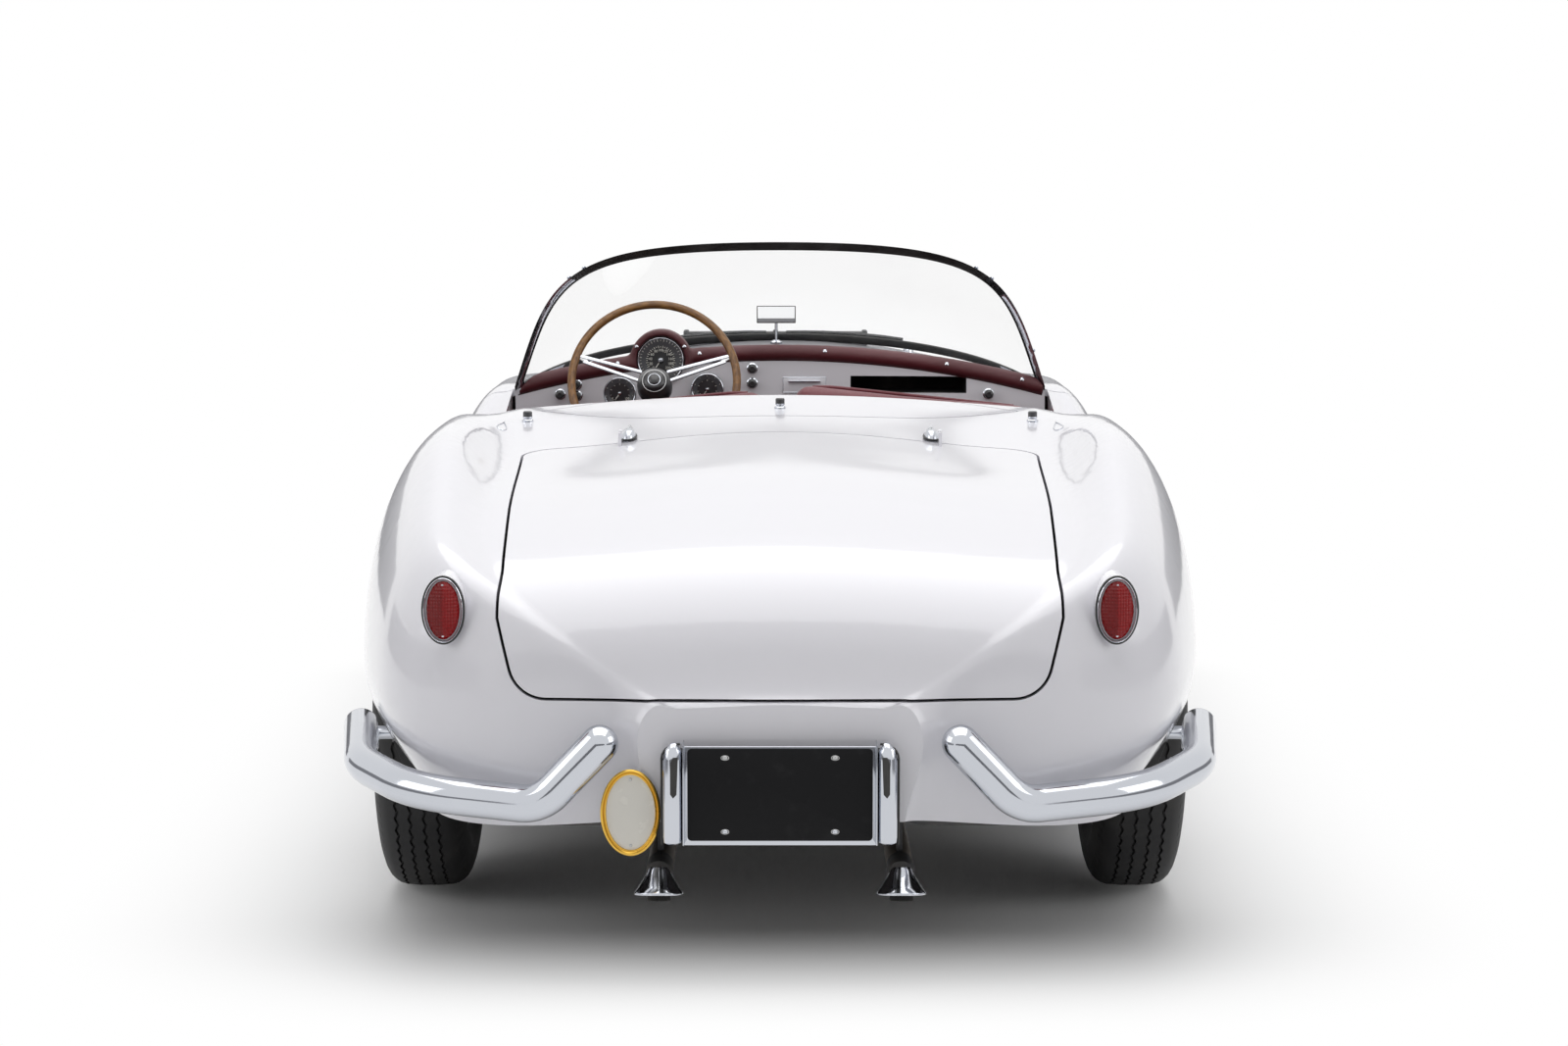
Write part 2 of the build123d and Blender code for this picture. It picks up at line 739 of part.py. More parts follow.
def front_axle():
    """Two cross beams, their uprights on the rails and the kingpin pillars."""
    solid = None
    for z0, z1 in ((LOWER_BEAM_Z0, LOWER_BEAM_Z1), (UPPER_BEAM_Z0, UPPER_BEAM_Z1)):
        beam = box(
            -KINGPIN_X,
            KINGPIN_X,
            FRONT_AXLE_Y - BEAM_HALF,
            FRONT_AXLE_Y + BEAM_HALF,
            z0,
            z1,
        )
        for x in (-KINGPIN_X, KINGPIN_X):
            beam = beam + rod_z(x, FRONT_AXLE_Y, z0, z1, BEAM_HALF)
        solid = beam if solid is None else solid + beam
    for x in (-KINGPIN_X, KINGPIN_X):
        solid = solid + rod_z(
            x, FRONT_AXLE_Y, LOWER_BEAM_Z0, UPPER_BEAM_Z1, KINGPIN_RADIUS
        )
    for x0 in (RAIL_X0, -RAIL_X1):
        for z0, z1 in ((LOWER_BEAM_Z1, RAIL_Z0), (RAIL_Z1, UPPER_BEAM_Z0)):
            solid = solid + box(
                x0,
                x0 + RAIL_X1 - RAIL_X0,
                FRONT_AXLE_Y - BEAM_HALF,
                FRONT_AXLE_Y + BEAM_HALF,
                z0,
                z1,
            )
    return solid


def knuckle(side):
    """A sliding-pillar sleeve with its stub axle and steering arm."""
    z0 = LOWER_BEAM_Z1 + KNUCKLE_END_GAP
    z1 = UPPER_BEAM_Z0 - KNUCKLE_END_GAP
    sleeve = rod_z(KINGPIN_X, FRONT_AXLE_Y, z0, z1, KNUCKLE_RADIUS)
    stub = rod_x(
        KINGPIN_X,
        FRONT_TRACK / 2 + SPINDLE_END,
        FRONT_AXLE_Y,
        TYRE_RADIUS,
        SPINDLE_RADIUS,
    )
    arm = box(*ARM_X, FRONT_AXLE_Y - ARM_LENGTH, FRONT_AXLE_Y, *ARM_Z)
    bore = rod_z(KINGPIN_X, FRONT_AXLE_Y, z0, z1, KINGPIN_RADIUS + PIN_CLEARANCE)
    right = (sleeve + stub + arm) - bore
    return right if side > 0 else mirrored(right)


def rear_axle():
    """Tube behind the transaxle, hub carriers, stub axles and half shafts."""
    tube = rod_x(0, CARRIER_X, DEDION_Y, TYRE_RADIUS, DEDION_RADIUS)
    carrier = box(
        CARRIER_X - CARRIER_SHEET,
        CARRIER_X,
        DEDION_Y - DEDION_RADIUS,
        REAR_AXLE_Y + CARRIER_HALF,
        TYRE_RADIUS - CARRIER_HALF,
        TYRE_RADIUS + CARRIER_HALF,
    )
    stub = rod_x(
        CARRIER_X,
        REAR_TRACK / 2 + SPINDLE_END,
        REAR_AXLE_Y,
        TYRE_RADIUS,
        SPINDLE_RADIUS,
    )
    half_shaft = rod_x(
        TRANSAXLE_HALF + SEAT_GAP, CARRIER_X, REAR_AXLE_Y, TYRE_RADIUS, HALF_SHAFT_RADIUS
    )
    right = tube + carrier + stub + half_shaft
    return right + mirrored(right)


def rear_springs():
    """A leaf spring each side, slung under the axle tube from two shackles."""
    top_z = TYRE_RADIUS - DEDION_RADIUS - SEAT_GAP
    y0, y1 = SPRING_Y
    leaf = box(
        SPRING_X - SPRING_HALF, SPRING_X + SPRING_HALF, y0, y1, top_z - SPRING_THICK, top_z
    )
    for y in (y0, y1 - SHACKLE_DEPTH):
        leaf = leaf + box(
            SPRING_X - SHACKLE_HALF,
            SPRING_X + SHACKLE_HALF,
            y,
            y + SHACKLE_DEPTH,
            top_z - SPRING_THICK / 2,
            BOOT_FLOOR_Z - SEAT_GAP,
        )
    return both_sides(leaf)


# --- Wheels ---------------------------------------------------------------------
def turned_x(points, x, y, z):
    """A closed (x, radius) outline turned about the X axis through a point."""
    face = make_face(Polyline(*[(px, radius) for px, radius in points], close=True))
    return Pos(x, y, z) * revolve(face, Axis.X)


def wheel_places():
    """Node ending, side and centre of each wheel."""
    return [
        ("front_left", -1, FRONT_TRACK / 2, FRONT_AXLE_Y),
        ("front_right", 1, FRONT_TRACK / 2, FRONT_AXLE_Y),
        ("rear_left", -1, REAR_TRACK / 2, REAR_AXLE_Y),
        ("rear_right", 1, REAR_TRACK / 2, REAR_AXLE_Y),
    ]


def tyre(side, x, y):
    """A tyre with straight-sided shoulders."""
    bead = RIM_RADIUS + TYRE_SEAT
    half = TYRE_WIDTH / 2
    right = [
        (half - TREAD_EDGE, TYRE_RADIUS),
        (half - SHOULDER_IN, TYRE_RADIUS - SHOULDER_DROP),
        (half, bead + BEAD_RISE),
        (half - TREAD_EDGE, bead),
    ]
    left = [(-px, radius) for px, radius in reversed(right)]
    return turned_x([*left, *right], side * x, y, TYRE_RADIUS)


def wheel(side, x, y):
    """A pressed steel wheel with slots, and its domed hubcap."""
    half = RIM_WIDTH / 2
    barrel = RIM_RADIUS - RIM_SHEET
    flange = RIM_RADIUS + FLANGE_RISE
    bore = SPINDLE_RADIUS + PIN_CLEARANCE
    dish = barrel - DISC_REACH
    front_rim, front_dish, cap_seat, hub_face = DISC_FRONT
    hub_back, hub_step, back_seat, back_dish, back_rim = DISC_BACK
    profile = [
        (-half, barrel),
        (-half, flange),
        (-half + RIM_SHEET, flange),
        (-half + RIM_SHEET, RIM_RADIUS),
        (half - RIM_SHEET, RIM_RADIUS),
        (half - RIM_SHEET, flange),
        (half, flange),
        (half, barrel),
        (front_rim, barrel),
        (front_dish, dish),
        (cap_seat, HUBCAP_RADIUS),
        (hub_face, HUB_RADIUS),
        (hub_face, bore),
        (hub_back, bore),
        (hub_back, HUB_RADIUS),
        (hub_step, HUB_RADIUS + HUBCAP_EDGE),
        (back_seat, HUBCAP_RADIUS),
        (back_dish, dish),
        (back_rim, barrel),
    ]
    rim = turned_x(profile, x, y, TYRE_RADIUS)
    cutter = extrude(SlotOverall(SLOT_LENGTH, SLOT_WIDTH, rotation=90), RIM_WIDTH / 2)
    cutter = Pos(0, 0, SLOT_CENTRE) * Rot(0, 90, 0) * cutter
    for index in range(WHEEL_SLOTS):
        turn = 360.0 / WHEEL_SLOTS * index
        rim = rim - Pos(x, y, TYRE_RADIUS) * Rot(turn, 0, 0) * cutter
    cap_x = x + cap_seat + SEAT_GAP
    cap = rod_x(cap_x, cap_x + HUBCAP_RISE, y, TYRE_RADIUS, HUBCAP_RADIUS + HUBCAP_EDGE)
    cap = fillet(cap.edges().sort_by(Axis.X)[-1], HUBCAP_RISE - HUBCAP_EDGE)
    right = joined(rim, cap)
    return right if side > 0 else mirrored(right)


# --- Exhaust ----------------------------------------------------------------------
EXHAUST_X = 200.0
EXHAUST_Z = 192.0
EXHAUST_FRONT_Y = 830.0
EXHAUST_BEND = 60.0
PIPE_RADIUS = 22.0
PIPE_WALL = 3.0
SILENCER_Y = (-520.0, -60.0)
SILENCER_RADIUS = 44.0
HANGER_HALF = (5.0, 12.0)
HANGERS = [(480, FLOOR_Z), (-300, FLOOR_Z), (-1560, BOOT_FLOOR_Z), (-1880, BOOT_FLOOR_Z)]
TIP_BEND_Y = -1945.0
TIP_RUN = 20.0
TIP_DROP = 30.0
TIP_RADIUS = 38.5
TIP_LENGTH = 34.0


def exhaust():
    """Twin pipes with silencers, hangers and flared tips that point down."""
    drop = math.radians(TIP_DROP)
    tip_y = TIP_BEND_Y - TIP_RUN * math.cos(drop)
    tip_z = EXHAUST_Z - TIP_RUN * math.sin(drop)
    path = FilletPolyline(
        (EXHAUST_X, tip_y, tip_z),
        (EXHAUST_X, TIP_BEND_Y, EXHAUST_Z),
        (EXHAUST_X, EXHAUST_FRONT_Y, EXHAUST_Z),
        (EXHAUST_X, EXHAUST_FRONT_Y, RAIL_Z0 - SEAT_GAP),
        radius=EXHAUST_BEND,
    )
    pipe = sweep(Plane(origin=path @ 0, z_dir=path % 0) * Circle(PIPE_RADIUS), path)
    pipe = pipe + rod_y(EXHAUST_X, *SILENCER_Y, EXHAUST_Z, SILENCER_RADIUS)
    low = (Align.CENTER, Align.CENTER, Align.MAX)
    flare = Cone(TIP_RADIUS, PIPE_RADIUS, TIP_LENGTH, align=low)
    hollow = Cone(TIP_RADIUS - PIPE_WALL, PIPE_RADIUS - PIPE_WALL, TIP_LENGTH, align=low)
    flare = flare - Pos(0, 0, -PIPE_WALL) * hollow
    pipe = pipe + Pos(EXHAUST_X, tip_y, tip_z) * Rot(TIP_DROP - 90, 0, 0) * flare
    dx, dy = HANGER_HALF
    for y, z1 in HANGERS:
        pipe = pipe + box(
            EXHAUST_X - dx, EXHAUST_X + dx, y - dy, y + dy, EXHAUST_Z, z1 - SEAT_GAP
        )
    return both_sides(pipe)


# --- Cabin --------------------------------------------------------------------------
SEAT_X0 = 20.0
SEAT_X1 = 545.0
SEAT_BASE_Z = FLOOR_Z + FLOOR_SHEET + SEAT_GAP
SEAT_TOP_Z = 899.0
SEAT_WAIST_Z = 600.0
SEAT_SIDE_DROP = 46.0
SEAT_CREST_X = 110.0
SEAT_CORNER = 42.0
DRIVER_SEAT_DROP = 13.0

# The seat's side profile (y, z) from the rear foot round the cushion to the top.
SEAT_PROFILE = [
    (-330, SEAT_BASE_Z + 40),
    (-300, SEAT_BASE_Z),
    (110, SEAT_BASE_Z),
    (130, 400),
    (100, 430),
    (-210, 405),
    (-300, SEAT_TOP_Z - 12),
    (-345, SEAT_TOP_Z),
    (-395, SEAT_TOP_Z - 30),
]
DASH_BOTTOM_Z = 800.0
DASH_SHEET = 10.0
FOOT_NOTCH = 6.0
ROLL_RADIUS = 20.0
ROLL_MID = (281.0, 938.0)
ROLL_SIDE = (604.0, 214.0, 862.0)
SPEEDO_X = -274.0
SPEEDO_Z = 922.0
SPEEDO_RADIUS = 55.0
SPEEDO_SET = 28.0
SPEEDO_DEPTH = 31.0
COWL_RADIUS = 71.0
COWL_SET = 36.0
COWL_LENGTH = 76.0
COWL_EDGE = 6.0
COWL_SKIRT = 14.0
SMALL_DIAL_RADIUS = 37.0
SMALL_DIAL_SET = 34.0
SMALL_DIAL_DEPTH = 60.0
SMALL_DIALS = [(-368, 847), (-167, 856)]
GLOVE_X0 = 162.0
GLOVE_X1 = 427.0
GLOVE_Z0 = 848.0
GLOVE_Z1 = 886.0
GLOVE_WALL = 6.0
GLOVE_FRONT_Y = 232.0
GLOVE_DEPTH = 150.0
COLUMN_X = -283.0
COLUMN_START = 48.0
COLUMN_END = 700.0
COLUMN_RADIUS = 19.0
SHAFT_RADIUS = 8.0
SHAFT_END = 105.0
WHEEL_Y = 95.0
WHEEL_Z = 884.0
WHEEL_RAKE = 25.0
STEERING_RADIUS = 186.0
STEERING_GRIP = 9.5
STEERING_HUB_RADIUS = 36.0
STEERING_HUB = (-8.0, 44.0)
SPOKE_START = 20.0
SPOKE_RISE = 44.0
SPOKE_SHIFT = 9.0
SPOKE_RADIUS = 4.0
LEVER_Y = 150.0
LEVER_HEIGHT = 180.0
LEVER_RADIUS = 6.0
LEVER_BOOT_RADIUS = 32.0
LEVER_BOOT_RISE = 20.0
KNOB_RADIUS = 20.0
PEDALS_X = (-380, -290, -205)
PEDAL_Y = 520.0

# Half width and depth of each pedal's pad and arm, then their heights.
PEDAL_PAD = (30.0, 10.0)
PEDAL_ARM = (6.0, 15.0)
PEDAL_FOOT = 12.0
PEDAL_PAD_Z = (300.0, 370.0)
PEDAL_ARM_Z = (340.0, 560.0)
PEDAL_FOOT_Z = (545.0, 570.0)
MIRROR_X = (-54.0, 36.0)
MIRROR_Y = (322.0, 336.0)
MIRROR_Z = (1004.0, 1044.0)
MIRROR_STALK_SET = 3.0
MIRROR_STALK_RADIUS = 4.5
MIRROR_FOOT_Z = 966.0
MIRROR_FOOT_RADIUS = 14.0


def seat(side):
    """A bucket seat: cushion and raked back in one padded shape."""
    drop = DRIVER_SEAT_DROP if side < 0 else 0.0
    points = [(y, z - drop if z > SEAT_WAIST_Z else z) for y, z in SEAT_PROFILE]
    solid = side_prism(make_face(Polyline(*points, close=True)), SEAT_X0, SEAT_X1)
    behind = [
        (SEAT_X0, 0),
        (SEAT_X1, 0),
        (SEAT_X1, SEAT_TOP_Z - SEAT_SIDE_DROP - drop),
        (SEAT_CREST_X, SEAT_TOP_Z - drop),
        (SEAT_X0, SEAT_TOP_Z - drop),
    ]
    solid = solid & rear_prism(behind, -FAR, FAR, SEAT_CORNER)
    tunnel_top = FLOOR_Z + FLOOR_SHEET + TUNNEL_HEIGHT + SEAT_GAP
    inner = TUNNEL_WIDTH / 2 + SEAT_GAP
    right = solid - box(0, inner, REAR_BULKHEAD_Y, FIREWALL_Y, 0, tunnel_top)
    return right if side > 0 else mirrored(right)


def roll(radius):
    """The padded roll under the windscreen as a round bar of the given radius."""
    mid_y, mid_z = ROLL_MID
    x, y, z = ROLL_SIDE
    path = ThreePointArc((-x, y, z), (0, mid_y, mid_z), (x, y, z))
    section = Plane(origin=path @ 0, z_dir=path % 0) * Circle(radius)
    return sweep(section, path)


def dial_cowl(grow):
    """The half round hood over the speedometer, made larger by the given amount."""
    y0 = ROLL_MID[0] - COWL_SET - grow
    y1 = y0 + COWL_LENGTH + 2 * grow
    drum = rod_y(SPEEDO_X, y0, y1, SPEEDO_Z, COWL_RADIUS + grow)
    drum = fillet(drum.edges().filter_by(GeomType.CIRCLE), COWL_EDGE)
    hollow = rod_y(SPEEDO_X, 0, FAR, SPEEDO_Z, SPEEDO_RADIUS + SEAT_GAP - grow)
    return drum - hollow - box(-FAR, FAR, -FAR, FAR, 0, SPEEDO_Z - COWL_SKIRT - grow)


def dash_pad():
    """The padded roll with its hood over the speedometer."""
    hole = rod_y(SPEEDO_X, 0, FAR, SPEEDO_Z, SPEEDO_RADIUS + SEAT_GAP)
    pad = (roll(ROLL_RADIUS) - hole) + dial_cowl(0.0)
    pad = pad & screen_cone(-GLASS_THICK - FRAME_IN - SEAT_GAP)
    return largest(pad - SHELL_SEAT)


def steering_frame(distance):
    """A placement on the steering axis, the given way down from the wheel."""
    slope = math.radians(WHEEL_RAKE)
    return Pos(
        COLUMN_X,
        WHEEL_Y + distance * math.cos(slope),
        WHEEL_Z - distance * math.sin(slope),
    ) * Rot(90 - WHEEL_RAKE, 0, 0)


def steering_bar(start, end, radius):
    """A round bar on the steering axis between two distances."""
    bar = Cylinder(radius, end - start, align=(Align.CENTER, Align.CENTER, Align.MAX))
    return steering_frame(start) * bar


def steering_column():
    """The column tube from below the wheel to the firewall."""
    tube = steering_bar(COLUMN_START, COLUMN_END, COLUMN_RADIUS)
    bore_end = SHAFT_END + PANEL_GAP
    tube = tube - steering_bar(COLUMN_START, bore_end, SHAFT_RADIUS + PIN_CLEARANCE)
    return tube - box(-FAR, FAR, FIREWALL_Y - SEAT_GAP, FAR, 0, SKY_Z)


def steering_wheel():
    """Wood rim, two twin-bar spokes and the hub on its shaft."""
    section = Pos(0, STEERING_RADIUS, 0) * Rot(0, 90, 0) * Circle(STEERING_GRIP)
    grip = steering_frame(0) * revolve(section, Axis.Z)
    hub = steering_bar(*STEERING_HUB, STEERING_HUB_RADIUS)
    hub = hub + steering_bar(STEERING_HUB[1] - PANEL_GAP, SHAFT_END, SHAFT_RADIUS)
    angle = math.degrees(math.atan2(SPOKE_RISE, STEERING_RADIUS))
    spoke_end = STEERING_RADIUS - STEERING_GRIP - PIN_CLEARANCE
    for turn in (angle, 180 - angle):
        for shift in (-SPOKE_SHIFT, SPOKE_SHIFT):
            spoke = rod_x(SPOKE_START, spoke_end, 0, 0, SPOKE_RADIUS)
            hub = hub + steering_frame(0) * Rot(0, 0, turn) * Pos(0, shift, 0) * spoke
    return joined(grip, hub)


def dashboard():
    """The curved instrument panel with its glove box."""
    mid_y, top_z = ROLL_MID
    x, side_y, side_z = ROLL_SIDE
    ahead_y = mid_y + GLOVE_DEPTH + DOOR_THICKNESS
    front = ThreePointArc((-x, side_y), (0, mid_y), (x, side_y))
    back_side_y = side_y - DASH_SHEET
    back = ThreePointArc((x, back_side_y), (0, mid_y - DASH_SHEET), (-x, back_side_y))
    ends = [Line(front @ 1, back @ 0), Line(back @ 1, front @ 0)]
    band = extrude(make_face([front, ends[0], back, ends[1]]), SKY_Z)
    ahead = make_face(
        [
            front,
            Line((x, side_y), (x, ahead_y)),
            Line((x, ahead_y), (-x, ahead_y)),
            Line((-x, ahead_y), (-x, side_y)),
        ]
    )
    outline = make_face(
        [
            Line((-x, DASH_BOTTOM_Z), (x, DASH_BOTTOM_Z)),
            Line((x, DASH_BOTTOM_Z), (x, side_z)),
            ThreePointArc((x, side_z), (0, top_z), (-x, side_z)),
            Line((-x, side_z), (-x, DASH_BOTTOM_Z)),
        ]
    )
    seen = Pos(0, ahead_y, 0) * Rot(90, 0, 0) * extrude(outline, ahead_y)
    dial_face = rod_y(SPEEDO_X, 0, ahead_y, SPEEDO_Z, COWL_RADIUS)
    panel = (band & seen) + (band & dial_face)
    back_y = mid_y + GLOVE_DEPTH
    glove = box(
        GLOVE_X0 - GLOVE_WALL,
        GLOVE_X1 + GLOVE_WALL,
        GLOVE_FRONT_Y,
        back_y,
        GLOVE_Z0 - GLOVE_WALL,
        GLOVE_Z1 + GLOVE_WALL,
    )
    panel = panel + (glove & extrude(ahead, SKY_Z))
    panel = panel - box(GLOVE_X0, GLOVE_X1, 0, back_y - GLOVE_WALL, GLOVE_Z0, GLOVE_Z1)
    panel = panel - roll(ROLL_RADIUS + SEAT_GAP) - dial_cowl(SEAT_GAP)
    panel = panel - rod_y(SPEEDO_X, 0, ahead_y, SPEEDO_Z, SPEEDO_RADIUS + SEAT_GAP)
    for dial_x, dial_z in SMALL_DIALS:
        panel = panel - rod_y(dial_x, 0, ahead_y, dial_z, SMALL_DIAL_RADIUS + SEAT_GAP)
    panel = panel - steering_bar(0, COLUMN_END, COLUMN_RADIUS + SEAT_GAP)
    foot = box(x - FOOT_NOTCH, x, 0, ahead_y, SCREEN_BASE[-1][1] - SEAT_GAP, SKY_Z)
    return largest(panel - SHELL_SEAT - foot - mirrored(foot))


def instruments():
    """Speedometer and two smaller dials, as round housings."""
    speedo_y = ROLL_MID[0] - SPEEDO_SET
    dial_y = ROLL_MID[0] - SMALL_DIAL_SET
    solids = [rod_y(SPEEDO_X, speedo_y, speedo_y + SPEEDO_DEPTH, SPEEDO_Z, SPEEDO_RADIUS)]
    for dial_x, dial_z in SMALL_DIALS:
        solids.append(
            rod_y(dial_x, dial_y, dial_y + SMALL_DIAL_DEPTH, dial_z, SMALL_DIAL_RADIUS)
        )
    clear = steering_bar(0, COLUMN_END, COLUMN_RADIUS + SEAT_GAP)
    return joined(*[(solid - clear) - SHELL_SEAT for solid in solids])


def gear_lever():
    """A straight lever with a ball knob on the tunnel."""
    base_z = FLOOR_Z + FLOOR_SHEET + TUNNEL_HEIGHT + SEAT_GAP
    knob_z = base_z + LEVER_HEIGHT
    lever = rod_z(0, LEVER_Y, base_z, base_z + LEVER_BOOT_RISE, LEVER_BOOT_RADIUS)
    lever = lever + rod_z(0, LEVER_Y, base_z, knob_z, LEVER_RADIUS)
    return lever + Pos(0, LEVER_Y, knob_z) * Sphere(KNOB_RADIUS)


def pedals():
    """Three pendant pedals hung from the firewall."""
    y0 = PEDAL_Y
    pad_y1 = y0 + PEDAL_PAD[1]
    arm_y1 = pad_y1 + PEDAL_ARM[1]
    solids = []
    for x in PEDALS_X:
        pad = box(x - PEDAL_PAD[0], x + PEDAL_PAD[0], y0, pad_y1, *PEDAL_PAD_Z)
        arm = box(x - PEDAL_ARM[0], x + PEDAL_ARM[0], pad_y1, arm_y1, *PEDAL_ARM_Z)
        foot = box(
            x - PEDAL_FOOT, x + PEDAL_FOOT, pad_y1, FIREWALL_Y - SEAT_GAP, *PEDAL_FOOT_Z
        )
        solids.append(pad + arm + foot)
    clear = steering_bar(0, FAR, COLUMN_RADIUS + PANEL_GAP)
    return joined(*[solid - clear for solid in solids])


def mirror_stand():
    """The interior mirror on its short stalk on the cowl."""
    head = box(*MIRROR_X, *MIRROR_Y, *MIRROR_Z)
    x = sum(MIRROR_X) / 2
    y = MIRROR_Y[1] - MIRROR_STALK_SET
    stalk = rod_z(x, y, GLOVE_Z1, MIRROR_Z[0] + PANEL_GAP, MIRROR_STALK_RADIUS)
    foot = rod_z(x, y, GLOVE_Z1, MIRROR_FOOT_Z, MIRROR_FOOT_RADIUS)
    return head + ((stalk + foot) - OUTER_SEAT)


# --- Windscreen -----------------------------------------------------------------------
GLASS_THICK = 5.0
FRAME_OUT = 5.0
FRAME_IN = 6.0
FRAME_WIDTH = 15.0
SCREEN_REF_Z = 974.0
SCREEN_HALF = 635.4
SCREEN_DEPTH = 440.0
SCREEN_HALF_SLOPE = 0.28
SCREEN_DEPTH_SLOPE = 0.96
SCREEN_TOP_Z = 1193.0
SCREEN_FOOT = (604.0, 866.0)
SCREEN_BEND = [(516.0, 1120.0), (509.0, 1193.0)]
SCREEN_BASE = [(260.0, 958.0), (470.0, 925.0), (604.0, 856.0)]
SCREEN_BASE_Z = 958.0
CONE_Z = (820.0, 1230.0)
CONE_STEP = 20

# How far each corner of the outline moves across and down as the frame narrows by one.
FOOT_SHRINK = (1.1, 1.0)
BEND_SHRINK = [(0.9, 0.35), (0.6, 1.0)]


def screen_cone(grow):
    """The leaning elliptical cone that the windscreen is cut from."""
    wires = []
    for z in CONE_Z:
        half = SCREEN_HALF - SCREEN_HALF_SLOPE * (z - SCREEN_REF_Z) + grow
        depth = SCREEN_DEPTH - SCREEN_DEPTH_SLOPE * (z - SCREEN_REF_Z) + grow
        points = []
        for degrees in range(0, 181, CONE_STEP):
            turn = math.radians(degrees)
            points.append((half * math.cos(turn), depth * math.sin(turn), z))
        arc = Spline(*points, tangents=[(0, 1, 0), (0, -1, 0)])
        wires.append(Wire([arc, Line(points[-1], points[0])]))
    return Solid.make_loft(wires)


def screen_outline(shrink):
    """The windscreen seen from the front, drawn along Y."""
    foot = (
        SCREEN_FOOT[0] - FOOT_SHRINK[0] * shrink,
        SCREEN_FOOT[1] + FOOT_SHRINK[1] * shrink,
    )
    bends = [
        (x - across * shrink, z - down * shrink)
        for (x, z), (across, down) in zip(SCREEN_BEND, BEND_SHRINK)
    ]
    edge = [foot, *bends, (0, SCREEN_TOP_Z - shrink)]
    base = [(0, SCREEN_BASE_Z + shrink)]
    base += [(x, z + shrink) for x, z in SCREEN_BASE[:-1]]
    base.append((foot[0], SCREEN_BASE[-1][1] + shrink))
    left_edge = [(-x, z) for x, z in reversed(edge)]
    left_base = [(-x, z) for x, z in reversed(base)]
    face = make_face(
        [
            Bezier(*edge),
            Bezier(*left_edge),
            Line(left_edge[-1], left_base[0]),
            Bezier(*left_base),
            Bezier(*base),
            Line(base[-1], edge[0]),
        ]
    )
    return Pos(0, FIREWALL_Y, 0) * Rot(90, 0, 0) * extrude(face, FIREWALL_Y)


def windscreen_frame():
    """The bright frame around the wrapped glass."""
    band = screen_cone(FRAME_OUT) - screen_cone(-GLASS_THICK - FRAME_IN)
    ring = screen_outline(0.0) - screen_outline(FRAME_WIDTH)
    return (band & ring) - OUTER_SEAT


def windscreen_glass():
    """The wrapped glass inside its frame."""
    band = screen_cone(0.0) - screen_cone(-GLASS_THICK)
    return (band & screen_outline(FRAME_WIDTH + SEAT_GAP)) - OUTER_SEAT


# --- Outside fittings -------------------------------------------------------------------
BUMPER_RADIUS = 31.0
BRACKET_RADIUS = 12.0
REAR_INNER_BRACKET = (440, -2040, -1900, 325)
REAR_OUTER_BRACKET = (650, 738, -1570, 360)
FRONT_INNER_BRACKET = (440, 1900, 2043, 351)
FRONT_OUTER_BRACKET = (650, 735, 1740, 362)
REAR_BUMPER_PATH = [
    (292, -2067, 424),
    (388, -2062, 322),
    (600, -1985, 330),
    (710, -1800, 344),
    (746, -1518, 364),
]
FRONT_BUMPER_PATH = [
    (297, 2070, 455),
    (385, 2065, 350),
    (610, 1985, 352),
    (708, 1830, 358),
    (744, 1712, 364),
]
BUMPER_BENDS = [75, 240, 240]
PLATE_HALF = 150.0
PLATE_Z0 = 266.0
PLATE_Z1 = 417.0
PLATE_Y = -2075.0
PLATE_SHEET = 2.0
BRACKET_SHEET = 3.0
BRACKET_RIM = 3.0
BRACKET_WINDOW = (60.0, 40.0)
BRACKET_ARM_X = (110.0, 130.0)
BRACKET_ARM_HALF = 10.0
PLATE_LAMP_X = (156.0, 192.0)
PLATE_LAMP_Y = -2094.0
PLATE_LAMP_Z = (261.0, 425.0)
PLATE_LAMP_EDGE = 8.0
PLATE_LAMP_SHOULDER = 26.0
SIGN_CENTRE = (-243.0, 308.0)
SIGN_HALF = (49.0, 71.0)
SIGN_Y = -2046.0
SIGN_SHEET = 4.0
SIGN_ARM = (-213.0, 330.0, 5.0)
INDICATOR_X = 520.0
INDICATOR_Z = 500.0
INDICATOR_Y = (1700.0, 2010.0)
INDICATOR_RADIUS = 27.0
PEGS = [(-513, -632), (0, -640), (513, -632)]
PEG_RADIUS = 8.0
PLATE_HOLE_RADIUS = 3.5
PLATE_HOLE_DX = 178.0
PLATE_HOLE_DZ = 121.0
TAIL_FACE_Y = -2037.0
TAIL_LAMP_X = 553.0
TAIL_LAMP_Z = 628.0
TAIL_LAMP_RX = 36.0
TAIL_LAMP_RZ = 57.0
TAIL_LAMP_FACE_Y = -1962.0
TAIL_LAMP_DEPTH = 120.0
TAIL_LAMP_EDGE = 12.0


def bumper(path_points, bends, brackets):
    """Half a bumper: a bent tube with closed ends and its brackets."""
    path = FilletPolyline(*path_points, radius=bends)
    section = Plane(origin=path @ 0, z_dir=path % 0) * Circle(BUMPER_RADIUS)
    bar = sweep(section, path)
    for point in (path_points[0], path_points[-1]):
        bar = bar + Pos(*point) * Sphere(BUMPER_RADIUS)
    for bracket in brackets:
        bar = bar + (bracket - OUTER_SEAT)
    return bar


def rear_bumpers():
    """The two rear bumper halves with upswept inner ends."""
    brackets = [
        rod_y(*REAR_INNER_BRACKET, BRACKET_RADIUS),
        rod_x(*REAR_OUTER_BRACKET, BRACKET_RADIUS),
    ]
    return both_sides(bumper(REAR_BUMPER_PATH, BUMPER_BENDS, brackets))


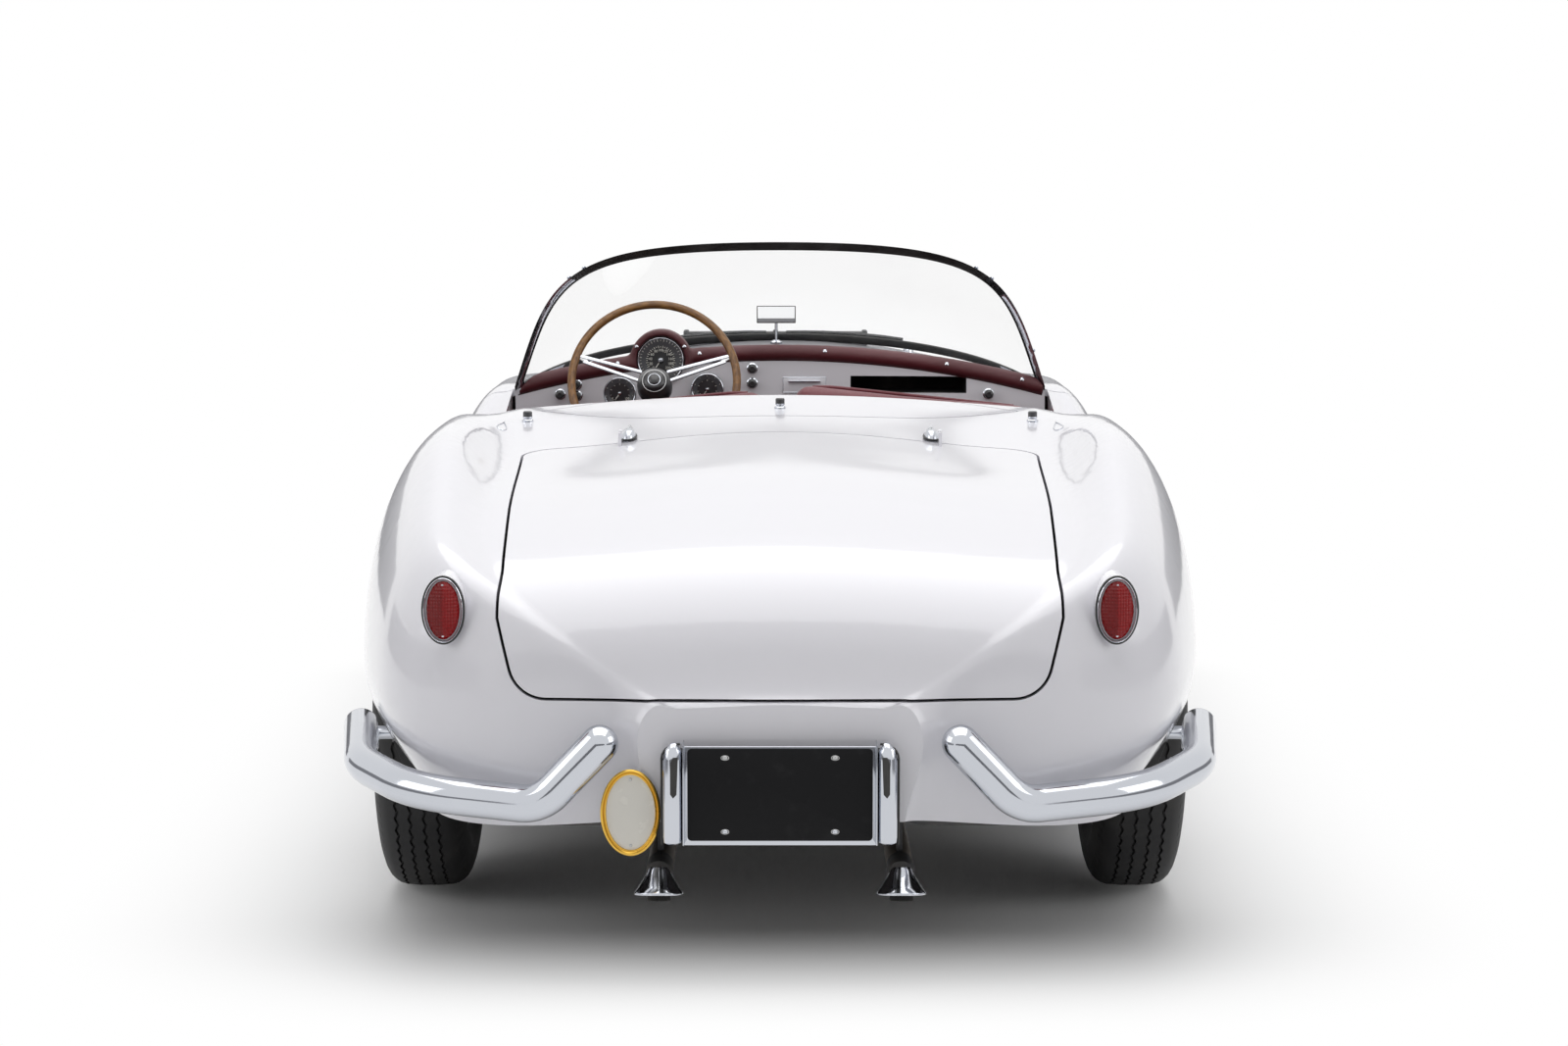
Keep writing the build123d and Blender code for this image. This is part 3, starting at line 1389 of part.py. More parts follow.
def front_bumpers():
    """The two front bumper halves."""
    brackets = [
        rod_y(*FRONT_INNER_BRACKET, BRACKET_RADIUS),
        rod_x(*FRONT_OUTER_BRACKET, BRACKET_RADIUS),
    ]
    return both_sides(bumper(FRONT_BUMPER_PATH, BUMPER_BENDS, brackets))


def plate_holes(y0, y1):
    """The four fixing holes of the plate."""
    mid_z = (PLATE_Z0 + PLATE_Z1) / 2
    return [
        rod_y(sx * PLATE_HOLE_DX / 2, y0, y1, mid_z + sz * PLATE_HOLE_DZ / 2, PLATE_HOLE_RADIUS)
        for sx in (-1, 1)
        for sz in (-1, 1)
    ]


def number_plate():
    """The blank plate."""
    plate = box(
        -PLATE_HALF, PLATE_HALF, PLATE_Y, PLATE_Y + PLATE_SHEET, PLATE_Z0, PLATE_Z1
    )
    for hole in plate_holes(PLATE_Y - 5, PLATE_Y + 5):
        plate = plate - hole
    return plate


def plate_bracket():
    """The carrier behind the plate, on two arms from the tail."""
    y0 = PLATE_Y + PLATE_SHEET
    y1 = y0 + BRACKET_SHEET
    mid_z = (PLATE_Z0 + PLATE_Z1) / 2
    half = PLATE_HALF + BRACKET_RIM
    window_x, window_z = BRACKET_WINDOW
    frame = box(-half, half, y0, y1, PLATE_Z0 - BRACKET_RIM, PLATE_Z1 + BRACKET_RIM)
    frame = frame - box(-window_x, window_x, y0, y1, mid_z - window_z, mid_z + window_z)
    for hole in plate_holes(y0 - PANEL_GAP, y1 + PANEL_GAP):
        frame = frame - hole
    arm = box(
        *BRACKET_ARM_X, y0, TAIL_FACE_Y, mid_z - BRACKET_ARM_HALF, mid_z + BRACKET_ARM_HALF
    )
    return frame + arm + mirrored(arm)


def plate_lamps():
    """Upright plate lamps beside the plate, rounded at the top outer shoulder."""
    body = box(*PLATE_LAMP_X, PLATE_LAMP_Y, TAIL_FACE_Y, *PLATE_LAMP_Z)
    edges = body.edges().filter_by(Axis.Y)
    shoulder = edges.sort_by(lambda edge: edge.center().X + edge.center().Z)[-1]
    body = fillet([edge for edge in edges if edge is not shoulder], PLATE_LAMP_EDGE)
    edges = body.edges().filter_by(Axis.Y)
    shoulder = edges.sort_by(lambda edge: edge.center().X + edge.center().Z)[-1]
    return both_sides(fillet(shoulder, PLATE_LAMP_SHOULDER))


def tail_lamps():
    """Oval lamps on the ends of the rear wings."""
    lens = extrude(Ellipse(TAIL_LAMP_RX, TAIL_LAMP_RZ), TAIL_LAMP_DEPTH)
    lens = fillet(lens.edges().group_by(Axis.Z)[-1], TAIL_LAMP_EDGE)
    front_y = TAIL_LAMP_FACE_Y + TAIL_LAMP_DEPTH
    lens = Pos(TAIL_LAMP_X, front_y, TAIL_LAMP_Z) * Rot(90, 0, 0) * lens
    return both_sides(lens - OUTER_SEAT)


def oval_sign():
    """A blank oval country sign beside the plate."""
    x, z = SIGN_CENTRE
    arm_x, arm_z, arm_radius = SIGN_ARM
    plate = Pos(x, SIGN_Y, z) * Rot(90, 0, 0) * extrude(Ellipse(*SIGN_HALF), SIGN_SHEET)
    return plate + rod_y(arm_x, SIGN_Y, TAIL_FACE_Y, arm_z, arm_radius)


def headlamps():
    """Round headlamps, each a short drum with a domed lens."""
    drum = rod_y(
        HEADLAMP_X, HEADLAMP_REAR_Y, HEADLAMP_FACE_Y, HEADLAMP_Z, HEADLAMP_RADIUS
    )
    share, rise = HEADLAMP_SHOULDER
    dome = make_face(
        [
            Line((0, 0), (HEADLAMP_RADIUS, 0)),
            ThreePointArc(
                (HEADLAMP_RADIUS, 0), (HEADLAMP_RADIUS * share, rise), (0, HEADLAMP_DOME)
            ),
            Line((0, HEADLAMP_DOME), (0, 0)),
        ]
    )
    dome = revolve(dome, Axis.Y)
    right = drum + Pos(HEADLAMP_X, HEADLAMP_FACE_Y, HEADLAMP_Z) * dome
    liner = FRONT_LINER_RADIUS + LINER + SEAT_GAP
    right = right - rod_x(0, FAR, FRONT_AXLE_Y, TYRE_RADIUS, liner)
    return both_sides(right)


def indicators():
    """Small round lamps below the headlamps."""
    lamp = rod_y(INDICATOR_X, *INDICATOR_Y, INDICATOR_Z, INDICATOR_RADIUS)
    return both_sides(lamp - OUTER_SEAT)


def nose_layer(proud, depth):
    """A layer that follows the nose's side profile, from proud to depth."""
    face_y = NOSE_FACE_Y + proud
    back_y = NOSE_FACE_Y - depth
    bend_z, top_z = NOSE_BEND_Z
    mid_back, top_back = NOSE_LEAN
    mid_z = (bend_z + top_z) / 2
    low_z = FLOOR_Z
    front_arc = ThreePointArc(
        (face_y, bend_z), (face_y - mid_back, mid_z), (face_y - top_back, top_z)
    )
    back_arc = ThreePointArc(
        (back_y - top_back, top_z), (back_y - mid_back, mid_z), (back_y, bend_z)
    )
    profile = make_face(
        [
            Line((back_y, low_z), (face_y, low_z)),
            Line((face_y, low_z), (face_y, bend_z)),
            front_arc,
            Line(front_arc @ 1, back_arc @ 0),
            back_arc,
            Line((back_y, bend_z), (back_y, low_z)),
        ]
    )
    return side_prism(profile, -FAR, FAR)


def grille():
    """The bright surround and cross bars of the air intake."""
    surround = grille_prism(-SEAT_GAP) - grille_prism(-GRILLE_RIM)
    surround = surround & nose_layer(GRILLE_PROUD, GRILLE_DEPTH)
    layer = nose_layer(BAR_DEPTH - GRILLE_DEPTH, GRILLE_DEPTH - SEAT_GAP)
    layer = layer & grille_prism(-GRILLE_RIM / 2)
    bars = []
    for index in range(GRILLE_BARS):
        z = GRILLE_Z0 + BAR_PITCH * (index + 1)
        bar = box(-FAR, FAR, GRILLE_CUT_Y, NOSE_END_Y, z, z + BAR_HEIGHT)
        bars.extend((layer & bar).solids())
    return largest(surround.fuse(*bars))


def hood_pegs():
    """Three turn-button pegs for the hood cover."""
    solids = []
    for x, y in PEGS:
        peg = rod_z(x, y, HOOD_CUT_Z, SKY_Z, PEG_RADIUS) & PEG_FORM
        solids.append(peg - OUTER_SEAT)
    return joined(*solids)


def boot_hinges():
    """Teardrop hinges ahead of the boot lid, with their barrels over the seam."""
    front_y = LID_HINGE_Y + LID_HINGE_LENGTH
    outline = [
        (LID_HINGE_X - LID_HINGE_HALF, LID_HINGE_Y),
        (LID_HINGE_X + LID_HINGE_HALF, LID_HINGE_Y),
        (LID_HINGE_X + LID_HINGE_TIP, front_y),
        (LID_HINGE_X - LID_HINGE_TIP, front_y),
    ]
    above = plan_prism(outline, HOOD_CUT_Z, SKY_Z)
    crest_z = LID_HINGE_Z + LID_BARREL_RADIUS
    profile = make_face(
        Polyline(
            (LID_HINGE_Y, LID_HINGE_Z - LID_BARREL_RADIUS),
            (LID_HINGE_Y, crest_z),
            (LID_HINGE_Y + LID_HINGE_LENGTH / 3, crest_z - LID_HINGE_RISE),
            (front_y, LID_HINGE_Z - LID_HINGE_RISE),
            (front_y, LID_HINGE_Z - LID_LUG_DEPTH),
            (LID_HINGE_Y + 2 * LID_BARREL_RADIUS, LID_HINGE_Z - LID_LUG_DEPTH),
            close=True,
        )
    )
    pad = above & side_prism(profile, 0, FAR)
    x0 = LID_HINGE_X - LID_HINGE_HALF
    x1 = LID_HINGE_X + LID_HINGE_HALF
    barrel = rod_x(x0, x1, LID_HINGE_Y, LID_HINGE_Z, LID_BARREL_RADIUS)
    return both_sides((pad - OUTER_SEAT) + barrel)


def main():
    """Build every node and write one file for each."""
    os.makedirs("parts", exist_ok=True)
    nodes = {
        "front_body": front_body(),
        "rear_body": rear_body(),
        "sills": sills(),
        "bonnet": bonnet(),
        "boot_lid": boot_lid(),
        "hood_cover": (SHELL & hood_prism(0.0)) - cockpit_prism(),
        "door_left": door(-1),
        "door_right": door(1),
        "wheelhouses": wheelhouses(),
        "floor_pan": floor_pan(),
        "bulkheads": bulkheads(),
        "boot_floor": boot_floor(),
        "front_rails": front_rails(),
        "engine": engine(),
        "transaxle": transaxle(),
        "front_axle": front_axle(),
        "knuckle_left": knuckle(-1),
        "knuckle_right": knuckle(1),
        "rear_axle": rear_axle(),
        "rear_springs": rear_springs(),
        "exhaust": exhaust(),
        "seat_left": seat(-1),
        "seat_right": seat(1),
        "dash_pad": dash_pad(),
        "dashboard": dashboard(),
        "instruments": instruments(),
        "steering_column": steering_column(),
        "steering_wheel": steering_wheel(),
        "gear_lever": gear_lever(),
        "pedals": pedals(),
        "mirror": mirror_stand(),
        "windscreen_frame": windscreen_frame(),
        "windscreen_glass": windscreen_glass(),
        "front_bumpers": front_bumpers(),
        "rear_bumpers": rear_bumpers(),
        "number_plate": number_plate(),
        "plate_bracket": plate_bracket(),
        "plate_lamps": plate_lamps(),
        "tail_lamps": tail_lamps(),
        "oval_sign": oval_sign(),
        "headlamps": headlamps(),
        "indicators": indicators(),
        "grille": grille(),
        "hood_pegs": hood_pegs(),
        "boot_hinges": boot_hinges(),
    }
    for ending, side, x, y in wheel_places():
        nodes[f"tyre_{ending}"] = tyre(side, x, y)
        nodes[f"wheel_{ending}"] = wheel(side, x, y)
    for name, shape in nodes.items():
        export_step(shape, f"parts/{name}.step")


if __name__ == "__main__":
    main()
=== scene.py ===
"""An open two-seat roadster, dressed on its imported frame."""

from __future__ import annotations

import logging
import math
from dataclasses import dataclass, field
from enum import Enum
from typing import Any, Callable, Sequence

import bmesh
import bpy
from mathutils import Matrix, Vector
from mathutils.bvhtree import BVHTree


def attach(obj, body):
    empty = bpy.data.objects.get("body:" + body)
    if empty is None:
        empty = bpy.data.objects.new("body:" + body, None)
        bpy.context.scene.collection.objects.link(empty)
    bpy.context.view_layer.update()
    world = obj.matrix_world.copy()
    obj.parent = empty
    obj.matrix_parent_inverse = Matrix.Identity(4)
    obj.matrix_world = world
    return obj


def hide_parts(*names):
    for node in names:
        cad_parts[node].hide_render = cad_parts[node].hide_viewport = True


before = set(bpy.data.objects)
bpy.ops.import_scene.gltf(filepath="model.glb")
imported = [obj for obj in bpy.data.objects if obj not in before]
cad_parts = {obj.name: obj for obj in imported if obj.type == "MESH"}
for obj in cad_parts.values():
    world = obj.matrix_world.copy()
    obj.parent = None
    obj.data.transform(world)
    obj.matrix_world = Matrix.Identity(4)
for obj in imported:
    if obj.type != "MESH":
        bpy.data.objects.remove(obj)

log = logging.getLogger("roadster")

Pair = tuple[float, float]
Point = tuple[float, float, float]
Colour = tuple[float, float, float, float]


# --- Shader expressions ---------------------------------------------------------
class Signal:
    """A shader socket that can stand in a Python expression on values."""

    def __init__(self, graph: Graph, socket: bpy.types.NodeSocket) -> None:
        """Wrap one output socket of a graph."""
        self.graph = graph
        self.socket = socket

    def _maths(self, operation: str, *values: Signal | float) -> Signal:
        """Add a Math node.

        Args:
            operation: The node's operation.
            values: Its inputs, in order.

        Returns:
            The node's value.
        """
        return self.graph.node("Math", {"operation": operation}, dict(enumerate(values)))

    def __add__(self, other: Signal | float) -> Signal:
        """Sum of two values."""
        return self._maths("ADD", self, other)

    __radd__ = __add__

    def __sub__(self, other: Signal | float) -> Signal:
        """This value less another."""
        return self._maths("SUBTRACT", self, other)

    def __rsub__(self, other: float) -> Signal:
        """A number less this value."""
        return self._maths("SUBTRACT", other, self)

    def __mul__(self, other: Signal | float) -> Signal:
        """Product of two values."""
        return self._maths("MULTIPLY", self, other)

    __rmul__ = __mul__

    def __pow__(self, other: float) -> Signal:
        """This value to a power."""
        return self._maths("POWER", self, other)

    def __abs__(self) -> Signal:
        """The size of this value."""
        return self._maths("ABSOLUTE", self)

    def over(self, floor: Signal | float) -> Signal:
        """This value, or a floor where it is less."""
        return self._maths("MAXIMUM", self, floor)

    def wave(self) -> Signal:
        """The sine of this value."""
        return self._maths("SINE", self)

    def angle(self, other: Signal) -> Signal:
        """The angle whose tangent is this value over another."""
        return self._maths("ARCTAN2", self, other)

    def ramp(self, low: float, high: float, start: float = 0.0, end: float = 1.0) -> Signal:
        """Map this value smoothly from one range to another.

        Args:
            low: The value that gives start.
            high: The value that gives end.
            start: The result at low and below.
            end: The result at high and above.

        Returns:
            The mapped value.
        """
        settings = {"interpolation_type": "SMOOTHSTEP"}
        inputs = {0: self, 1: low, 2: high, 3: start, 4: end}
        return self.graph.node("MapRange", settings, inputs)


class Graph:
    """The node tree of one material, or of the world."""

    def __init__(self, name: str, owner: bpy.types.World | None = None) -> None:
        """Start an empty tree in a new material, or in the world given."""
        self.owner = owner or bpy.data.materials.new(name)
        self.owner.use_nodes = True
        self.tree = self.owner.node_tree
        self.tree.nodes.clear()

    def node(
        self,
        kind: str,
        settings: dict[str, Any] | None = None,
        inputs: dict[int | str, Any] | None = None,
        output: int | str = 0,
    ) -> Signal:
        """Add any node.

        Args:
            kind: The node's type without its ShaderNode prefix.
            settings: Its own settings, made first; stops is a ramp's list.
            inputs: Values or signals for its sockets.
            output: The socket that the result wraps.

        Returns:
            The chosen output.
        """
        made = self.tree.nodes.new("ShaderNode" + kind)
        for key, value in (settings or {}).items():
            if key == "stops":
                elements = made.color_ramp.elements
                while len(elements) < len(value):
                    elements.new(0.5)
                for element, (place, colour) in zip(elements, value):
                    element.position = place
                    element.color = colour
            else:
                setattr(made, key, value)
        for key, value in (inputs or {}).items():
            if isinstance(value, Signal):
                self.tree.links.new(value.socket, made.inputs[key])
            else:
                made.inputs[key].default_value = value
        return Signal(self, made.outputs[output])

    def place(self, centre: Point = (0, 0, 0), stretch: Point = (1, 1, 1)) -> Signal:
        """Object coordinates about a centre, scaled by a stretch."""
        found = self.node("TexCoord", output="Object")
        moved = self.node("VectorMath", {"operation": "SUBTRACT"}, {0: found, 1: centre})
        return self.node("VectorMath", {"operation": "MULTIPLY"}, {0: moved, 1: stretch})

    def parts(self, vector: Signal) -> tuple[Signal, Signal, Signal]:
        """The X, Y and Z of a vector."""
        split = self.node("SeparateXYZ", None, {0: vector}).socket.node
        return tuple(Signal(self, socket) for socket in split.outputs)

    def noise(self, scale: float, detail: float = 2.0, vector: Signal | None = None) -> Signal:
        """Soft noise at a scale per metre."""
        inputs = {"Vector": vector or self.place(), "Scale": scale, "Detail": detail}
        return self.node("TexNoise", None, inputs)

    def cells(self, scale: float) -> Signal:
        """Distance to the nearest of scattered points, at a scale per metre."""
        return self.node("TexVoronoi", None, {"Vector": self.place(), "Scale": scale})

    def blend(self, factor: Signal | float, first: Any, second: Any) -> Signal:
        """Mix two colours by a factor."""
        return self.node("Mix", {"data_type": "RGBA"}, {0: factor, 6: first, 7: second}, 2)

    def bump(self, height: Signal, depth: float, strength: float = 1.0) -> Signal:
        """A normal from a height, where one is the given depth in metres."""
        inputs = {"Height": height, "Distance": depth, "Strength": strength}
        return self.node("Bump", None, inputs)

    def surface(self, **sockets: Any) -> Signal:
        """A main surface shader with its sockets by name, words joined by _."""
        names = {key: key.replace("_", " ").title().replace("Ior", "IOR") for key in sockets}
        inputs = {names[key]: value for key, value in sockets.items()}
        return self.node("BsdfPrincipled", None, inputs)

    def rays(self, *kinds: str) -> list[Signal]:
        """Whether the ray at hand is of each kind."""
        path = self.node("LightPath").socket.node
        return [Signal(self, path.outputs[f"Is {kind} Ray"]) for kind in kinds]

    def close(self, shader: Signal, kind: str = "Material") -> bpy.types.ID:
        """Send a shader to the output and return what owns the tree."""
        output = self.tree.nodes.new("ShaderNodeOutput" + kind)
        self.tree.links.new(shader.socket, output.inputs["Surface"])
        return self.owner


# --- Finishes -------------------------------------------------------------------
@dataclass(frozen=True)
class Finish:
    """A named surface finish, built once as a material."""

    name: str
    slot: str
    colour: Colour = (0.8, 0.8, 0.8, 1.0)

    def tint(self, share: float, lift: float = 0.0) -> Colour:
        """The finish's colour times a share, plus a lift."""
        return tuple(min(1.0, share * c + lift) for c in self.colour[:3]) + (1,)

    def shader(self, graph: Graph) -> Signal:
        """The finish as a shader; each kind of finish has its own."""
        raise NotImplementedError

    def material(self) -> bpy.types.Material:
        """The finish's material, made on first use."""
        found = bpy.data.materials.get(self.name)
        if found:
            return found
        graph = Graph(self.name)
        return graph.close(self.shader(graph))


@dataclass(frozen=True)
class GlossPaint(Finish):
    """Polished body paint under a clear coat, with dust low on the panels."""

    dust_top: float = 0.33
    dust: Colour = (0.42, 0.41, 0.39, 1.0)

    def shader(self, graph: Graph) -> Signal:
        """Clear coat over a pale base with fine flake and a faint peel."""
        _, _, z = graph.parts(graph.place())
        cloud = graph.noise(2.2, 3.0)
        flake = graph.cells(2600.0)
        grime = z.ramp(0.2, self.dust_top, 0.5, 0.0) * graph.noise(14.0, 6.0).ramp(0.35, 0.7)
        shade = graph.blend(flake * 0.05 + cloud * 0.05, self.colour, self.tint(0.86))
        return graph.surface(
            base_color=graph.blend(grime * 0.5, shade, self.dust),
            roughness=grime * 0.4 + 0.34 + cloud * 0.04,
            coat_weight=1.0 - grime,
            coat_roughness=0.09,
            normal=graph.bump(graph.noise(160.0, 1.0), 0.00003),
        )


@dataclass(frozen=True)
class BrightMetal(Finish):
    """Plated or polished metal with faint wipe marks."""

    colour: Colour = (0.58, 0.6, 0.645, 1.0)
    roughness: float = 0.045
    ripple: float = 0.00002

    def shader(self, graph: Graph) -> Signal:
        """A mirror finish whose roughness drifts a little."""
        haze = graph.noise(9.0, 5.0)
        marks = graph.noise(120.0, 2.0, graph.place(stretch=(1, 1, 4)))
        return graph.surface(
            base_color=graph.blend(haze * 0.25, self.colour, self.tint(0.8)),
            metallic=1.0,
            roughness=haze * 0.06 + marks * 0.03 + self.roughness,
            normal=graph.bump(graph.noise(45.0, 1.0), self.ripple),
        )


@dataclass(frozen=True)
class RawMetal(Finish):
    """Cast or painted metal out of sight, with oil and road film."""

    colour: Colour = (0.05, 0.05, 0.055, 1.0)
    metal: float = 0.0
    roughness: float = 0.55

    def shader(self, graph: Graph) -> Signal:
        """A grainy satin with a patchy film of dust."""
        grain = graph.noise(420.0, 3.0)
        film = graph.noise(11.0, 6.0).ramp(0.45, 0.75)
        return graph.surface(
            base_color=graph.blend(film * 0.35, self.colour, (0.2, 0.18, 0.16, 1)),
            metallic=self.metal,
            roughness=film * 0.25 + grain * 0.1 + self.roughness,
            normal=graph.bump(grain, 0.0003),
        )


@dataclass(frozen=True)
class Hide(Finish):
    """Grained leather with soft creases."""

    colour: Colour = (0.125, 0.011, 0.02, 1.0)

    def shader(self, graph: Graph) -> Signal:
        """Small pebbled cells, darker between them, over slow creases."""
        pebble = graph.cells(520.0).ramp(0.0, 0.75)
        crease = graph.noise(26.0, 5.0)
        worn = graph.noise(7.0, 4.0).ramp(0.4, 0.75)
        tone = graph.blend(pebble * 0.5, self.colour, self.tint(0.62))
        return graph.surface(
            base_color=graph.blend(worn * 0.45, tone, self.tint(1.5, 0.01)),
            roughness=0.42 + pebble * 0.12 - worn * 0.1,
            normal=graph.bump(crease * 1.6 - pebble * 0.5, 0.0006, 0.8),
        )


@dataclass(frozen=True)
class Rubber(Finish):
    """Black rubber with a grey bloom."""

    colour: Colour = (0.013, 0.013, 0.014, 1.0)
    roughness: float = 0.62

    def shader(self, graph: Graph) -> Signal:
        """Matt black, greyer where it has weathered."""
        bloom = graph.noise(16.0, 6.0).ramp(0.4, 0.8)
        return graph.surface(
            base_color=graph.blend(bloom * 0.6, self.colour, (0.05, 0.048, 0.045, 1)),
            roughness=bloom * 0.15 + self.roughness,
            normal=self.relief(graph),
        )

    def relief(self, graph: Graph) -> Signal:
        """A fine grain all over."""
        return graph.bump(graph.noise(700.0, 2.0), 0.00015)


@dataclass(frozen=True)
class TyreRubber(Rubber):
    """Tyre rubber with ribs on the sidewall, about its own hub."""

    hub: Point = (0.0, 0.0, 0.0)

    def relief(self, graph: Graph) -> Signal:
        """Rings and short radial bars below the shoulder."""
        _, y, z = graph.parts(graph.place(self.hub))
        radius = (y * y + z * z) ** 0.5
        rings = (radius * 900.0).wave().ramp(0.2, 0.8) * radius.ramp(0.236, 0.24)
        rings = rings * radius.ramp(0.268, 0.272, 1.0, 0.0)
        bars = (y.angle(z) * 84.0).wave().ramp(-0.2, 0.2)
        bars = bars * radius.ramp(0.288, 0.29) * radius.ramp(0.306, 0.308, 1.0, 0.0)
        return graph.bump(rings * 0.5 + bars, 0.0012)


@dataclass(frozen=True)
class Wood(Finish):
    """Polished wood with long grain round a steering rim."""

    colour: Colour = (0.27, 0.13, 0.035, 1.0)
    dark: Colour = (0.12, 0.05, 0.014, 1.0)
    hub: Point = (0.0, 0.0, 0.0)

    def shader(self, graph: Graph) -> Signal:
        """Grain stretched along the rim under a glossy varnish."""
        x, y, z = graph.parts(graph.place(self.hub))
        turn = x.angle(z) * 0.35
        reach = (x * x + z * z) ** 0.5
        along = graph.node("CombineXYZ", None, {0: reach * 9.0, 1: y * 9.0, 2: turn})
        grain = graph.noise(18.0, 6.0, along).ramp(0.35, 0.65)
        fine = graph.noise(90.0, 3.0, along)
        return graph.surface(
            base_color=graph.blend(grain * 0.8 + fine * 0.2, self.colour, self.dark),
            roughness=0.35,
            coat_weight=0.3,
            coat_roughness=0.1,
            specular_ior_level=0.3,
            normal=graph.bump(fine, 0.00008),
        )


@dataclass(frozen=True)
class ClearGlass(Finish):
    """Thin clear glass that shows what is behind it."""

    colour: Colour = (0.93, 0.97, 0.97, 1.0)
    body: float = 0.006
    mirror: float = 0.09

    def shader(self, graph: Graph) -> Signal:
        """Nearly clear face on, more mirror-like at a slant."""
        slant = graph.node("LayerWeight", None, {"Blend": 0.35}, "Fresnel")
        smear = graph.noise(6.0, 5.0).ramp(0.5, 0.9)
        return graph.surface(
            base_color=self.colour,
            roughness=smear * 0.03 + 0.01,
            alpha=slant * self.mirror + smear * 0.015 + self.body,
        )


@dataclass(frozen=True)
class FlutedGlass(Finish):
    """Pressed headlamp glass with upright flutes."""

    flutes: float = 900.0

    def shader(self, graph: Graph) -> Signal:
        """Half clear, with ribs that catch the light."""
        x, _, z = graph.parts(graph.place())
        rib = (x * self.flutes).wave() * 0.5 + 0.5
        step = (z * 160.0).wave().ramp(-0.1, 0.1)
        return graph.surface(
            base_color=self.colour,
            roughness=rib * 0.05 + 0.06,
            alpha=rib * 0.2 + step * 0.08 + 0.3,
            normal=graph.bump(rib + step * 0.3, 0.0008),
        )


@dataclass(frozen=True)
class MouldedLens(Finish):
    """A moulded lens with fine flutes, about its own centre."""

    colour: Colour = (0.2, 0.003, 0.004, 1.0)
    centre: Point = (0.0, 0.0, 0.0)
    flutes: float = 1400.0
    clear: float = 0.2

    def shader(self, graph: Graph) -> Signal:
        """Fluted from side to side, with one side of its middle painted lighter as a painted
        highlight and faint painted streaks along the flutes.
        """
        x, _, z = graph.parts(graph.place(self.centre))
        ridge = (x * self.flutes).wave() * 0.5 + (z * self.flutes * 0.8).wave() * 0.5
        # Painted highlight: the side of the lens at higher X is mixed toward a paler colour,
        # standing in for light caught on one side of the lens's ridge.
        glow = x.ramp(-0.004, 0.004)
        return graph.surface(
            # The flutes also lighten the colour a little, as painted streaks of light.
            base_color=graph.blend(glow * 0.55 + ridge * 0.12, self.colour, self.tint(1.9)),
            roughness=0.16,
            transmission_weight=self.clear,
            ior=1.49,
            coat_weight=0.0,
            specular_ior_level=0.2,
            normal=graph.bump(ridge, 0.0006),
        )


@dataclass(frozen=True)
class Pile(Finish):
    """Short cut carpet."""

    colour: Colour = (0.035, 0.03, 0.03, 1.0)

    def shader(self, graph: Graph) -> Signal:
        """Tufts by fine cells, with a slow nap."""
        tuft = graph.cells(640.0)
        nap = graph.noise(12.0, 4.0)
        return graph.surface(
            base_color=graph.blend(tuft * 0.7 + nap * 0.2, self.colour, self.tint(2.2, 0.01)),
            roughness=0.95,
            normal=graph.bump(tuft + nap * 0.4, 0.0016),
        )


@dataclass(frozen=True)
class Enamel(Finish):
    """Smooth fired or moulded colour on small fittings."""

    roughness: float = 0.22
    coat: float = 0.5
    shine: float = 0.5

    def shader(self, graph: Graph) -> Signal:
        """A gloss colour with faint speckle and fine wear."""
        speck = graph.noise(300.0, 2.0)
        wear = graph.noise(30.0, 5.0).ramp(0.55, 0.8)
        pale = self.tint(1.25, 0.015)
        return graph.surface(
            base_color=graph.blend(wear * 0.4 + speck * 0.12, self.colour, pale),
            roughness=wear * 0.15 + self.roughness,
            coat_weight=self.coat,
            specular_ior_level=self.shine,
            normal=graph.bump(speck, 0.00003),
        )


BODY_WHITE = GlossPaint("silver_white_paint", "paint", (0.735, 0.728, 0.77, 1.0))
PANEL_BACK = RawMetal("underseal", "under_paint", (0.022, 0.022, 0.023, 1.0))
FRAME_BLACK = RawMetal("frame_black", "under_paint", (0.03, 0.03, 0.032, 1.0))
CHROME = BrightMetal("bright_plating", "chrome")
SATIN = BrightMetal("satin_steel", "steel", (0.5, 0.5, 0.5, 1.0), 0.3, 0.0001)
IRON = RawMetal("cast_iron", "iron", (0.07, 0.065, 0.06, 1.0), 0.6)
ALLOY = RawMetal("cast_alloy", "aluminium", (0.36, 0.36, 0.37, 1.0), 0.9, 0.42)
PIPE = RawMetal("pipe_steel", "steel", (0.16, 0.14, 0.12, 1.0), 0.8, 0.45)
WHEEL_SILVER = GlossPaint("wheel_silver", "wheel_paint", (0.5, 0.5, 0.51, 1.0), 0.1)
MAROON = Hide("maroon_hide", "leather")
ROLL_HIDE = Hide("roll_hide", "leather", (0.08, 0.007, 0.012, 1.0))
SEAL = Rubber("black_seal", "tyre", (0.012, 0.012, 0.012, 1.0), 0.45)
CARPET = Pile("dark_carpet", "under_paint")
GLASS = ClearGlass("screen_glass", "glass")
DIAL_BLACK = Enamel("dial_black", "dial", (0.012, 0.012, 0.014, 1.0), 0.35)
DIAL_MARK = Enamel("dial_marks", "dial", (0.75, 0.74, 0.68, 1.0), 0.5)
PLATE_BLACK = Enamel("plate_black", "black_plate", (0.008, 0.008, 0.009, 1.0), 0.4, 0.0, 0.12)
HUB_BLACK = Enamel("hub_black", "dial", (0.02, 0.02, 0.022, 1.0), 0.3)
CREAM = Enamel("sign_cream", "cream_plate", (0.72, 0.7, 0.64, 1.0), 0.25)
GOLD = BrightMetal("sign_gold", "cream_plate", (0.72, 0.45, 0.08, 1.0), 0.24, 0.0001)
